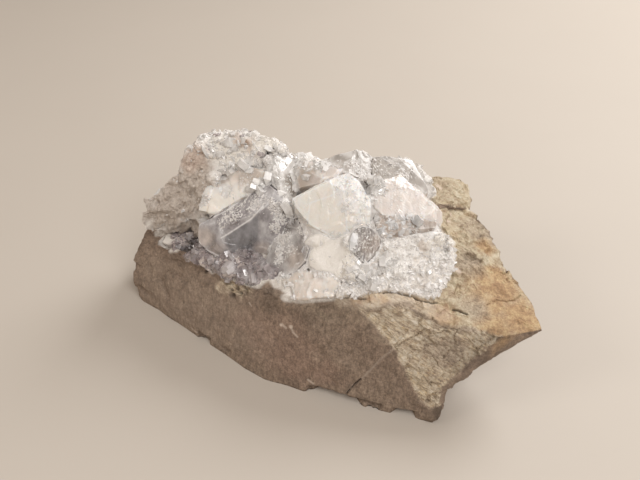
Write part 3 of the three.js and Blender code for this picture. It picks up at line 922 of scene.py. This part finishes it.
def limestone():
    """The rock: smooth where its flat front shows, and hackly where it broke."""
    whole = welded("limestone_matrix")
    mesh = refined(whole, stone_edge(tree_of(whole)), coarse_below=UNDERSIDE)
    points = points_of(mesh)
    normals = normals_of(mesh)
    tree = tree_of(mesh)
    wobble = 0.35 * layered_noise(points, 4.0, 3, 5)
    masks = limestone_masks(points, normals, tree, wobble)
    axes = lamina_axes(normals, tree, masks["fracture"])
    height = limestone_heights(points, tree, masks, axes)
    height *= 1 - smooth_step(1.8, 0.3, points[:, 2])
    undercut = spots(points, tree, UNDERCUTS, 0.4, wobble) * smooth_step(2.6, 1.7, points[:, 2])
    moved = points + normals * height[:, None] + INWARD * (UNDERCUT_DEPTH * undercut)[:, None]
    moved[:, 2] = np.maximum(moved[:, 2], 0)
    moved[points[:, 2] < UNDERSIDE, 2] = 0
    put_points(mesh, moved)
    paint_limestone(mesh, points, normals, tree, masks, wobble)
    calm = masks["front"] * (1 - masks["fracture"]) > 0.5
    corners = np.array([face.vertices[0] for face in mesh.polygons])
    mesh.polygons.foreach_set("use_smooth", calm[corners])
    surface = (moved, normals_of(mesh), triangles_of(mesh))
    fill_contacts(surface, masks["fringe"], FRINGE_GRAINS, (0.25, 1.5), 47, 0.4)
    finished("limestone", mesh, "limestone_matrix", [limestone_material(axes)])


# Large crystals

FACE_SPREAD = math.radians(15)
LEAST_FACE = 0.01
FACE_GROWTH = 0.35
BEVEL = 0.15
CHIPS = 9
CHIP_DEPTHS = (0.15, 0.9)
CRYSTAL_EDGE = 0.85
FINE_EDGE = 0.60
STRIPED_EDGE = 0.40
LINE_EDGE = 0.25
STRIPE_WIDTH = 0.62
STRIPES_ACROSS = np.array((0.80, 0.25, -0.55))
FIBRES_TURN = np.array(Matrix.Rotation(0.7, 3, "Y"))
FROST_PER_SPOT = 110
FROST_SIZES = (0.2, 0.9)
SPARKLES_PER_SPOT = 80
SPARKLE_SIZES = (0.15, 0.8)
SPARKLE_DEPTHS = (-0.04, 0.10)
NEEDLES_PER_SPOT = 70
NEEDLE_SIZES = (0.3, 2.2)
NEEDLE_DEPTHS = (-0.03, 0.10)
PLATE_THICKNESS = 0.08
SHARDS_PER_SPOT = 30
SHARD_SIZES = (0.8, 2.8)
VEILS = 24
VEIL_SIZES = (1.5, 5.0)
VEIL_DEPTHS = (0.8, 4.0)
VEIL_THICKNESS = 0.05
CONTACT_GRAINS = 230
CONTACT_SIZES = (0.25, 1.3)
FIRST_CRYSTAL_SEED = 100


def corners_between(normals, reaches):
    """The corners of the solid that lies behind all of some planes."""
    corners = []
    for three in itertools.combinations(range(len(normals)), 3):
        sides = normals[list(three)]
        if abs(np.linalg.det(sides)) < 1e-3:
            continue
        corner = np.linalg.solve(sides, reaches[list(three)])
        if (normals @ corner - reaches).max() < 1e-4:
            corners.append(corner)
    return np.array(corners)


def hull_of(name, corners, flat=math.radians(0.5)):
    """The flat-faced solid around some corners."""
    shape = bmesh.new()
    for corner in corners:
        shape.verts.new(Vector(corner) * MM)
    bmesh.ops.remove_doubles(shape, verts=shape.verts, dist=WELD * MM)
    bmesh.ops.convex_hull(shape, input=shape.verts)
    loose = [vertex for vertex in shape.verts if not vertex.link_faces]
    bmesh.ops.delete(shape, geom=loose, context="VERTS")
    bmesh.ops.dissolve_limit(shape, angle_limit=flat, verts=shape.verts, edges=shape.edges)
    bmesh.ops.recalc_face_normals(shape, faces=shape.faces)
    mesh = bpy.data.meshes.new(name)
    shape.to_mesh(mesh)
    shape.free()
    return mesh


def flat_faced(node):
    """A crystal with a few true flat faces, fitted to the facets around a solid, and with
    small chips off its corners."""
    hull = hull_of(node, points_of(welded(node)), flat=0.0)
    points = points_of(hull)
    middle = points.mean(axis=0)
    facets = []
    for face in hull.polygons:
        normal = np.array(face.normal)
        centre = np.array(face.center) / MM
        if normal @ (centre - middle) < 0:
            normal = -normal
        facets.append((face.area, normal, centre @ normal))
    groups = []
    for facet in sorted(facets, key=lambda facet: -facet[0]):
        for group in groups:
            if group[0][1] @ facet[1] > math.cos(FACE_SPREAD):
                group.append(facet)
                break
        else:
            groups.append([facet])
    normals = []
    reaches = []
    whole = sum(area for area, _, _ in facets)
    for group in groups:
        weight = sum(area for area, _, _ in group)
        if weight < LEAST_FACE * whole:
            continue
        normal = sum(area * n for area, n, _ in group)
        normal /= np.linalg.norm(normal)
        reach = sum(area * far for area, _, far in group) / weight
        normals.append(normal)
        reaches.append(min(reach + FACE_GROWTH, (points @ normal).max()))
    for axis in range(3):
        for side in (-1, 1):
            normal = np.zeros(3)
            normal[axis] = side
            normals.append(normal)
            reaches.append((points @ normal).max() + FACE_GROWTH)
    corners = corners_between(np.array(normals), np.array(reaches))
    rng = np.random.default_rng(len(corners))
    for normal in rng.normal(size=(CHIPS, 3)):
        normal /= np.linalg.norm(normal)
        normals.append(normal)
        reaches.append((corners @ normal).max() - rng.uniform(*CHIP_DEPTHS))
    return hull_of(node, corners_between(np.array(normals), np.array(reaches)))


def bevelled(mesh):
    def add(thing):
        bevel = thing.modifiers.new("edges", "BEVEL")
        bevel.width = BEVEL * MM
        bevel.segments = 2
        bevel.limit_method = "ANGLE"
        bevel.angle_limit = math.radians(12)

    return with_modifiers(mesh, add)


def stepped(values):
    """Turns smooth values into terraces, as cleavage leaves."""
    whole = np.floor(values)
    return whole + smooth_step(0.42, 0.58, values - whole)


# What each large crystal looks like: its material and slot, then the places, a pixel and a radius,
# of frosted patches, of sparkles on the surface, of needles that lie along a direction, of warm and
# grey tones, and of shards grown on it; some grey spots are painted shade. Then the outlines of its
# faces darkened as painted shade, its lines of painted highlight, whether it holds veils, the
# strength of its relief, fibres and stripes, and the longest edge of its mesh.
CRYSTAL_LOOKS = {
    "centre_crystal": dict(
        look="white", slot="milky_crystal", sparkle=[(345, 209, 0.9)],
        warm=[(322, 213, 7), (334, 223, 6)], fibres=0.10, along=(0.5, 0.3, -0.8),
        # Lines of painted highlight
        light=[[(310, 203), (339, 193), (345, 205), (347, 229)], [(292, 197), (327, 181), (343, 190)],
               [(310, 203), (307, 223), (333, 236)]],
        needles=[(352, 200, 4.0), (356, 214, 3.5), (344, 180, 3.0)]),
    "right_crystal": dict(
        look="shaded_white", slot="milky_crystal", sparkle=[(375, 205, 1.5)], fibres=0.10,
        # A line of painted highlight
        light=[[(372, 178), (395, 180), (418, 192), (437, 210)]],
        shards=[(375, 184, 3.0), (374, 190, 2.5)], along=(0.9, 0.1, -0.4),
        needles=[(400, 196, 6.0), (420, 206, 4.0)]),
    "cream_crystal": dict(
        look="cream", slot="milky_crystal", relief=2.4,
        frost=[(203, 200, 1.8), (220, 170, 1.8), (238, 167, 1.6)],
        sparkle=[(228, 194, 2.0), (247, 180, 3.0)], warm=[(208, 208, 3.5), (225, 200, 3.0)],
        grey=[(222, 177, 2.6), (251, 176, 4.0)],
        shards=[(260, 188, 2.5), (213, 173, 2.2), (229, 166, 2.2), (247, 167, 2.2), (201, 198, 2.0)]),
    "crest_crystal": dict(
        look="haze", slot="milky_crystal", sparkle=[(272, 170, 3), (282, 190, 3)],
        frost=[(270, 160, 1.6), (290, 200, 1.2)], warm=[(262, 165, 3)],
        # Its grey spots are painted shade in the pocket beside it
        grey=[(294, 184, 3.5), (298, 180, 3.0)],
        shards=[(272, 165, 4.0), (285, 180, 4.0), (290, 205, 3.0)]),
    "back_white_crystal": dict(
        # Its grey spots are painted shade in the same pocket
        look="shaded_white", slot="milky_crystal", frost=[(318, 165, 1.5)], grey=[(305, 175, 3), (300, 185, 3)],
        shards=[(300, 168, 3.0), (318, 164, 3.0)]),
    "blue_crystal": dict(
        look="blue", slot="clear_crystal",
        frost=[(277, 209, 1.9), (281, 219, 1.9), (275, 228, 1.5), (272, 201, 1.0)],
        sparkle=[(233, 214, 2.0), (256, 203, 2.0)], edge=FINE_EDGE, along=(0.75, 0.55, 0.35),
        needles=[(233, 214, 2.8), (256, 203, 2.8), (243, 210, 2.4), (264, 197, 1.8), (224, 222, 2.0)],
        # Its lower face, darkened as painted shade
        painted_shade_faces=[[(226, 236), (251, 220), (259, 214), (258, 240), (250, 252), (236, 254), (226, 246)]],
        warm=[(205, 238, 3.0), (215, 250, 2.5), (262, 250, 2.5)], veils=True,
        light=[[(193, 231), (199, 224), (226, 211), (256, 190)], [(191, 229), (203, 248), (219, 256)],
               [(221, 238), (228, 234), (251, 219), (263, 206)]]),
    "front_grey_crystal": dict(
        look="grey", slot="clear_crystal",
        frost=[(281, 238, 1.8), (280, 249, 1.6), (288, 237, 1.6), (279, 259, 1.4)],
        sparkle=[(290, 250, 2), (300, 232, 1.5)], warm=[(296, 258, 3.0)], grey=[(292, 226, 2.2)],
        veils=True),
    "back_grey_crystal": dict(
        look="smoky", slot="grey_crystal", frost=[(356, 168, 1.8), (363, 176, 1.6), (350, 164, 1.4)],
        sparkle=[(335, 164, 2.5), (360, 172, 2.5)], veils=True),
    "corner_grey_crystal": dict(
        look="smoky", slot="grey_crystal",
        frost=[(404, 176, 1.6), (412, 188, 1.4)], along=(0.8, 0.3, -0.5), needles=[(398, 175, 4.0)],
        sparkle=[(385, 170, 3), (405, 178, 3)], grey=[(378, 166, 5.0), (388, 170, 5.0), (402, 178, 6.0)],
        veils=True),
    "striated_crystal": dict(
        look="grey", slot="grey_crystal", stripes=0.16, sparkle=[(366, 250, 3.0), (362, 236, 2.5)],
        grey=[(357, 238, 3.5), (360, 250, 3.0)], warm=[(374, 246, 3.0)], edge=STRIPED_EDGE,
        needles=[(362, 240, 4.0), (366, 254, 3.0)], along=(0.15, -0.6, -0.75),
        shards=[(352, 232, 2.0), (350, 250, 2.0), (376, 258, 2.0)]),
    "brown_crystal": dict(look="brown", slot="grey_crystal", sparkle=[(385, 220, 3), (412, 222, 3)],
                          warm=[(385, 222, 3)], veils=True, shards=[(410, 222, 3.0), (388, 226, 3.0)]),
}


def crystal_edge(mesh, edge, lines):
    """The longest edge wanted in a crystal's mesh: shorter along the lines of painted highlight on it."""
    tree = tree_of(mesh)

    def limit_at(places):
        limit = np.full(len(places), edge)
        for line in lines:
            limit[line_distance(places, tree, line, 2.0) < 0.8] = LINE_EDGE
        return limit

    return limit_at


def stripe_bands(points, seed):
    """Stripes across a crystal: 1 on their crests and 0 between them."""
    across = points @ STRIPES_ACROSS + 0.6 * noise(points, 4.0, seed + 4)
    return np.abs((across / STRIPE_WIDTH) % 1 - 0.5) * 2


def crystal_heights(points, seed, clear, relief, fibres):
    """How far a crystal stands out of its flat faces, in millimetres."""
    height = 0.08 * relief * layered_noise(points, 5.0, 3, seed)
    height += 0.16 * relief * stepped(1.6 * noise(points, np.array((5.0, 9.0, 6.0)), seed + 3))
    if clear:
        height += 0.20 * broken_facets(points, 5.0, 0.12, seed + 8)
    if fibres:
        height += fibres * layered_noise(points @ FIBRES_TURN, np.array((0.9, 5.0, 6.0)), 2, seed + 9)
    return height


def small_parts(surface, tree, wobble, seed, frost, sparkle, needles, along, shards):
    """Frost, sparkles, needles and shards at their places on a crystal, as parts of a mesh."""
    points = surface[0]
    parts = []
    if frost:
        weight = spots(points, tree, frost, 0.3, wobble)
        count = FROST_PER_SPOT * len(frost)
        parts.append((grains(surface, weight, count, FROST_SIZES, 0.5, seed + 5, 0.3), 1))
    for places, per_spot, sizes, depths, own_seed, direction in (
        (sparkle, SPARKLES_PER_SPOT, SPARKLE_SIZES, SPARKLE_DEPTHS, seed + 6, None),
        (needles, NEEDLES_PER_SPOT, NEEDLE_SIZES, NEEDLE_DEPTHS, seed + 15, along),
    ):
        if places:
            weight = spots(points, tree, places, 0.4, wobble)
            count = per_spot * len(places)
            plates = flakes(surface, weight, count, sizes, depths, own_seed, PLATE_THICKNESS, direction)
            parts.append((plates, 1))
    if shards:
        weight = spots(points, tree, shards, 0.4)
        count = SHARDS_PER_SPOT * len(shards)
        parts.append((grains(surface, weight, count, SHARD_SIZES, 0.45, seed + 12, 0.45), 2))
    return parts


def crystal(node, materials, look, slot, seed, frost=(), sparkle=(), warm=(), grey=(), shards=(),
            painted_shade_faces=(), veils=False, stripes=0.0, fibres=0.0, needles=(), along=None,
            edge=CRYSTAL_EDGE, relief=1.0, light=()):
    """A large crystal with flat faces, bevelled edges with painted highlight along them, and all that its
    look puts on and in it.
    """
    plain = bevelled(flat_faced(node))
    mesh = refined(plain, crystal_edge(plain, edge, light))
    points = points_of(mesh)
    normals = normals_of(mesh)
    clear = slot != "milky_crystal"
    edge_highlight = crease_mask(mesh) * smooth_step(-0.9 if clear else -0.3, 0.4, noise(points, 2.5, seed + 14))
    height = crystal_heights(points, seed, clear, relief, fibres)
    bands = stripe_bands(points, seed)
    height += stripes * (bands - 0.5)
    points = points + normals * height[:, None]
    put_points(mesh, points)
    normals = normals_of(mesh)
    surface = (points, normals, triangles_of(mesh))
    tree = tree_of(mesh)
    wobble = 0.35 * layered_noise(points, 2.5, 3, seed + 10)
    # Grey tone: grey spots, some of them painted shade in a pocket, painted shade on the faces given, and
    # the darker stripes
    dark = spots(points, tree, grey, 0.5, wobble)
    for outline in painted_shade_faces:
        dark = np.maximum(dark, inside(points, normals, outline, 1.5, 1.5 * noise(points, 2.0, seed + 11)))
    if stripes:
        dark = np.maximum(dark, 0.6 * smooth_step(0.55, 0.25, bands))
    # Painted highlight along the given lines
    for line in light:
        edge_highlight = np.maximum(edge_highlight, 1 - smooth_step(0.05, 0.40, line_distance(points, tree, line, 0.5)))
    set_mask(mesh, "grey", 0.9 * dark)
    set_mask(mesh, "warm", 0.7 * spots(points, tree, warm, 0.6, wobble))
    # edge: painted highlight along sharp edges and the given lines
    set_mask(mesh, "edge", 0.8 * edge_highlight)
    parts = [(mesh, 0)]
    extra = parts if clear else contact_grains
    extra.extend(small_parts(surface, tree, wobble, seed, frost, sparkle, needles, along, shards))
    upward = smooth_step(-0.4, 0.2, normals[:, 2])
    if veils:
        plates = flakes(surface, upward, VEILS, VEIL_SIZES, VEIL_DEPTHS, seed + 7, VEIL_THICKNESS)
        parts.append((plates, 2))
    touching = 1 - smooth_step(0.3, 1.2, distance_to_others(points, node))
    exposed = touching * smooth_step(-0.2, 0.3, normals[:, 2]) + NOWHERE
    fill_contacts(surface, exposed, CONTACT_GRAINS, CONTACT_SIZES, seed + 13, 0.5)
    finished(node.replace("_crystal", "_piece"), joined_mesh(node, parts), node,
             [materials[look], materials["frost"], materials["veil"]])


INFILL_VOXEL = 0.55
INFILL_REACH = 0.9
INFILL_DEPTH = 0.4
CLEARANCE = 0.24
VEIN_VOXEL = 0.45
VEIN_GRAINS = 300


def infill():
    """White mass between the crystals: their joined form with its narrow gaps closed, and cut
    back where a clear crystal stands, so that it doesn't show through."""
    shapes = [flat_faced(node) for node in CRYSTAL_LOOKS] + [welded("front_vein"), welded("sugary_crust")]
    whole = joined_mesh("infill", [(shape, 0) for shape in shapes])
    clear = [node for node, look in CRYSTAL_LOOKS.items() if look["slot"] != "milky_crystal"]
    cutters = []
    for node in clear:
        shape = flat_faced(node)
        points = points_of(shape)
        away = points - points.mean(axis=0)
        far = np.linalg.norm(away, axis=1)[:, None]
        put_points(shape, points + away / far * CLEARANCE)
        cutters.append(placed("cutter", shape))

    def add(thing):
        for step, reach in enumerate((INFILL_REACH, -INFILL_REACH - INFILL_DEPTH)):
            add_remesh(thing, f"even_{step}", INFILL_VOXEL)
            move = thing.modifiers.new(f"move_{step}", "DISPLACE")
            move.mid_level = 0
            move.strength = reach * MM
        add_remesh(thing, "even", INFILL_VOXEL)
        for cutter in cutters:
            cut = thing.modifiers.new("cut", "BOOLEAN")
            cut.operation = "DIFFERENCE"
            cut.solver = "MANIFOLD"
            cut.object = cutter

    mesh = with_modifiers(whole, add)
    for cutter in cutters:
        bpy.data.objects.remove(cutter)
    points = points_of(mesh)
    rough = 0.25 * broken_facets(points, 1.8, 0.6, 91) + 0.1 * layered_noise(points, 2.0, 3, 92)
    put_points(mesh, points + normals_of(mesh) * rough[:, None])
    return mesh


def front_vein(materials):
    """The white lens along the front edge: a satin mass with fine fibres, and no flat faces."""
    node = "front_vein"
    mesh = dense(node, VEIN_VOXEL, 4)
    points = points_of(mesh)
    normals = normals_of(mesh)
    height = 0.15 + 0.5 * layered_noise(points, 5.0, 3, 131)
    height += 0.25 * broken_facets(points, 3.0, 0.4, 132)
    height += 0.12 * layered_noise(points, np.array((0.9, 3.0, 3.0)), 2, 133)
    put_points(mesh, points + normals * height[:, None])
    tree = tree_of(mesh)
    set_mask(mesh, "warm", 0.6 * spots(points, tree, [(335, 290, 3)], 0.6))
    set_mask(mesh, "grey", np.zeros(len(points)))
    set_mask(mesh, "edge", smooth_step(0.3, 0.9, noise(points, 2.0, 134)))
    surface = (points_of(mesh), normals_of(mesh), triangles_of(mesh))
    touching = 1 - smooth_step(0.3, 1.5, distance_to_others(points, node))
    fill_contacts(surface, touching + 0.05, VEIN_GRAINS, (0.3, 1.2), 135, 0.4)
    finished("front_vein_piece", mesh, node, [materials["vein"]])


def large_crystals(materials):
    for index, (node, look) in enumerate(CRYSTAL_LOOKS.items()):
        crystal(node, materials, seed=FIRST_CRYSTAL_SEED + 20 * index, **look)
    front_vein(materials)
    contact_grains.append((infill(), 0))
    finished("intergrowth", joined_mesh("intergrowth", contact_grains), None,
             [materials["frost"], materials["frost"], materials["grain"]])


# Crusts

CRUST_MASKS = ("brown", "pink", "orange", "cream", "dark", "druse")
FLANK_TURN = np.array(Matrix.Rotation(0.5, 3, "X") @ Matrix.Rotation(0.35, 3, "Y"))
HOLLOW_DEPTH = 1.6
KNOB_VOXEL = 0.55
SUGARY_VOXEL = 0.45
DRUSE_VOXEL = 0.38

# The materials of a crust's mesh, by index
CRUST_MATERIALS = ("crust", "frost", "grain", "purple")
FROST = 1
CLEAR = 2
PURPLE = 3


def layer_weight(where, points, normals, tree, calm, brown):
    """Where a layer of small crystals grows on a crust: at its back, in spots, or all over."""
    if where == "back":
        weight = smooth_step(4, 12, points[:, 1]) * smooth_step(0.5, 0.85, normals[:, 1])
        return weight * smooth_step(46, 38, points[:, 2]) * (1 - brown)
    if where:
        return spots(points, tree, where, 0.4)
    return calm**2 * (1 - 0.75 * brown)


def crust(node, materials, voxel, layers, seed, rough, lumps, ridges, masks, smooth=(), hollows=()):
    """A crust: the solid meshed finely, made rough, with layers of small crystals on it. Each
    layer is a count, sizes, how much the crystals lean, their material, and where they grow."""
    mesh = dense(node, voxel, 2)
    points = points_of(mesh)
    normals = normals_of(mesh)
    tree = tree_of(mesh)
    wobble = 0.3 * layered_noise(points, 3.0, 3, seed + 5)
    calm = 1 - spots(points, tree, smooth, 0.4, wobble)
    brown = spots(points, tree, masks.get("brown", ()), 0.5, wobble)
    bumps = lumps * (0.8 * layered_noise(points, 5.5, 3, seed + 2) - 0.3)
    bumps += lumps * 0.5 * broken_facets(points, 3.2, 0.5, seed + 1) * calm
    bumps += rough * broken_facets(points, 1.5, 0.6, seed + 3) * calm * (1 - 0.6 * brown)
    bumps += rough * 0.3 * layered_noise(points, 1.6, 3, seed) * calm
    if ridges:
        folds = layered_noise(points @ FLANK_TURN, np.array((3.2, 3.2, 11.0)), 3, seed + 7)
        bumps += ridges * (1.2 * np.abs(folds) - 0.3) * np.maximum(brown, 0.25)
    bumps -= HOLLOW_DEPTH * spots(points, tree, hollows, 0.4, wobble)
    points = points + normals * bumps[:, None]
    put_points(mesh, points)
    for name in CRUST_MASKS:
        places = masks.get(name, ())
        if places == "all":
            set_mask(mesh, name, np.ones(len(points)))
        else:
            set_mask(mesh, name, spots(points, tree, places, 0.5, wobble))
    surface = (points, normals_of(mesh), triangles_of(mesh))
    parts = [(mesh, 0)]
    for count, size, lean, material, where in layers:
        weight = layer_weight(where, points, normals, tree, calm, brown) + NOWHERE
        parts.append((grains(surface, weight, count, size, lean, seed + count, 0.35), material))
    name = node + "_piece" if node.endswith("_crust") else node.replace("_druse", "_crust")
    finished(name, joined_mesh(node, parts), node,
             [materials[look] for look in CRUST_MATERIALS])


def knob_crust(materials):
    """The high knob at the left, brown on its flank and glassy at the top."""
    glassy = [(255, 160, 6), (240, 165, 5), (290, 160, 5), (225, 160, 4), (215, 142, 5), (240, 138, 4)]
    layers = [
        (1700, (0.2, 0.7), 0.6, FROST, None),
        (600, (0.4, 1.8), 0.6, CLEAR, None),
        (200, (0.9, 2.8), 0.45, CLEAR, glassy),
        (20, (0.8, 2.0), 0.5, PURPLE, glassy),
        (420, (0.8, 3.2), 0.6, CLEAR, "back"),
    ]
    masks = {
        "brown": [(180, 200, 8), (165, 215, 8), (195, 172, 5), (190, 190, 6), (190, 230, 8),
                  (175, 185, 5), (150, 230, 6), (205, 195, 2.0), (207, 185, 2)],
        "pink": [(197, 155, 3.5), (190, 162, 3.0), (235, 145, 3), (250, 148, 3)],
        "orange": [(244, 143, 1.2), (249, 151, 1.0), (206, 190, 0.9)],
        "cream": [(222, 150, 4), (270, 150, 4), (240, 160, 4), (262, 145, 3), (285, 158, 3),
                  (149, 224, 0.9)],
        # dark: painted shade in the hollow
        "dark": [(208, 190, 0.8)],
    }
    crust("knob_crust", materials, KNOB_VOXEL, layers, seed=51, rough=0.4, lumps=0.8, ridges=1.3,
          masks=masks, smooth=[(149, 224, 2.0), (220, 168, 3.0)], hollows=[(206, 192, 1.2)])


def sugary_crust(materials):
    """The glittering crust at the lower right, with smooth cream and brown places."""
    low_front = [(370, 270, 6), (395, 280, 6), (415, 275, 6)]
    layers = [
        (2600, (0.22, 0.75), 0.7, FROST, None),
        (420, (0.4, 1.4), 0.7, CLEAR, None),
        (110, (0.8, 2.6), 0.5, CLEAR, "back"),
        (90, (0.8, 2.6), 0.5, CLEAR, low_front),
    ]
    masks = {
        "cream": [(300, 245, 6), (320, 255, 6), (318, 270, 5), (442, 262, 4), (443, 240, 4),
                  (345, 268, 6), (350, 286, 5)],
        "brown": [(372, 265, 1.5), (385, 252, 1.2), (424, 246, 2.0), (360, 285, 1.4), (322, 262, 2.4)],
    }
    smooth = [(300, 232, 4), (315, 245, 6), (325, 262, 5), (335, 245, 3), (441, 262, 3.0)]
    crust("sugary_crust", materials, SUGARY_VOXEL, layers, seed=61, rough=0.38, lumps=0.35,
          ridges=0.0, masks=masks, smooth=smooth)


def druses(materials):
    """The small purple crystals along the front edge and in the pocket at the far left."""
    layers = [(520, (0.6, 3.1), 0.8, PURPLE, None), (340, (0.2, 0.7), 0.6, FROST, None)]
    masks = {"druse": "all", "pink": [(232, 283, 4)]}
    crust("front_druse", materials, DRUSE_VOXEL, layers, seed=71, rough=0.3, lumps=0.3, ridges=0.0,
          masks=masks)
    layers = [(90, (0.7, 2.2), 0.6, PURPLE, None), (50, (0.25, 0.8), 0.6, FROST, None)]
    # dark: painted shade in the pocket's hollows
    masks = {"druse": "all", "cream": [(166, 240, 2.6)], "dark": [(190, 243, 2.4), (184, 247, 2.0)]}
    crust("pocket_druse", materials, DRUSE_VOXEL, layers, seed=81, rough=0.3, lumps=0.3, ridges=0.0,
          masks=masks, smooth=[(166, 240, 3.0)], hollows=[(190, 243, 3.0), (184, 248, 2.0)])


# White materials: light and deep tone, and how far their clouds are turned
MILKY_LOOKS = {
    "white": ((0.99, 0.98, 0.97), (0.95, 0.91, 0.88), 0.2),
    # shaded_white: a darker copy of the white, painted shade
    "shaded_white": ((0.80, 0.745, 0.71), (0.73, 0.675, 0.64), 0.2),
    "vein": ((0.81, 0.745, 0.69), (0.73, 0.66, 0.60), 0.5),
    "cream": ((0.97, 0.945, 0.91), (0.90, 0.83, 0.77), 0.9),
}
# Clear materials: tint, grey tone, share of light that passes, roughness, and the tone and
# density, per metre, of the inside
CLEAR_LOOKS = {
    "haze": ((0.90, 0.865, 0.83), (0.42, 0.37, 0.32), 0.40, 0.10, (0.9, 0.87, 0.84), 8),
    "blue": ((0.650, 0.610, 0.630), (0.37, 0.365, 0.385), 0.50, 0.06, (0.76, 0.78, 0.83), 12),
    "grey": ((0.80, 0.76, 0.75), (0.52, 0.48, 0.46), 0.50, 0.12, (0.80, 0.76, 0.74), 12),
    "smoky": ((0.70, 0.65, 0.60), (0.50, 0.455, 0.41), 0.38, 0.28, (0.86, 0.82, 0.80), 10),
    "brown": ((0.78, 0.66, 0.57), (0.50, 0.41, 0.35), 0.42, 0.10, (0.78, 0.68, 0.60), 12),
    "purple": ((0.76, 0.68, 0.69), (0.50, 0.45, 0.46), 0.62, 0.05, (0.78, 0.72, 0.75), 18),
    "veil": ((0.92, 0.92, 0.93), (0.7, 0.7, 0.7), 0.40, 0.2, (0.9, 0.9, 0.9), 1),
    "grain": ((0.98, 0.96, 0.94), (0.7, 0.66, 0.64), 0.32, 0.05, (0.90, 0.86, 0.85), 6),
}


def crystal_materials():
    made = {look: milky_material(f"milky_{look}", *values) for look, values in MILKY_LOOKS.items()}
    for look, values in CLEAR_LOOKS.items():
        made[look] = clear_material(f"clear_{look}", *values)
    made["frost"] = frost_material()
    made["crust"] = crust_material()
    return made


# Floor, light and sky. Lamps are measured in metres and watts.

DESK_REACH = 3000.0
DESK_TONES = ((0.561, 0.512, 0.456), (0.583, 0.534, 0.476))
ROOM_COLOUR = (1.0, 0.83, 0.68, 1)
ROOM_STRENGTH = 0.347
# Each lamp's way from the specimen, its distance, its size, its power and its colour
LAMPS = {
    "key": ((0.85, 0.80, 1.0), 0.65, 0.36, 2.78, (1.0, 0.99, 0.98)),
    "fill": ((0.45, -0.78, 1.1), 0.75, 0.55, 2.85, (1.0, 0.99, 0.98)),
    "second": ((-1.4, -0.35, 1.0), 1.2, 0.40, 2.1, (1.0, 0.96, 0.90)),
}


def add_floor():
    corners = DESK_REACH * np.array([(-1, -1, 0), (1, -1, 0), (1, 1, 0), (-1, 1, 0)])
    mesh = mesh_from("floor", corners, [(0, 1, 2, 3)])
    m = Nodes("desk")
    m.set(Roughness=0.6, Specular_IOR_Level=0.3)
    m.feed("Base Color", m.mix(m.noise(60, detail=3), *DESK_TONES))
    mesh.materials.append(m.material)
    floor = placed("floor", mesh)


def add_lamp(name, towards, distance, size, power, colour):
    data = bpy.data.lights.new(name, "AREA")
    data.shape = "DISK"
    data.size = size
    data.energy = power
    data.color = colour
    lamp = placed(name, data)
    away = Vector(towards).normalized()
    lamp.location = away * distance + CAMERA_TARGET * MM
    lamp.rotation_euler = away.to_track_quat("Z", "Y").to_euler()


def add_light():
    world = bpy.data.worlds.new("room")
    world.use_nodes = True
    back = world.node_tree.nodes["Background"]
    back.inputs["Color"].default_value = ROOM_COLOUR
    back.inputs["Strength"].default_value = ROOM_STRENGTH
    scene.world = world
    for name, values in LAMPS.items():
        add_lamp(name, *values)


scene.view_settings.view_transform = "Standard"
add_camera()
add_floor()
add_light()
limestone()
looks = crystal_materials()
large_crystals(looks)
knob_crust(looks)
sugary_crust(looks)
druses(looks)

bpy.context.view_layer.update()
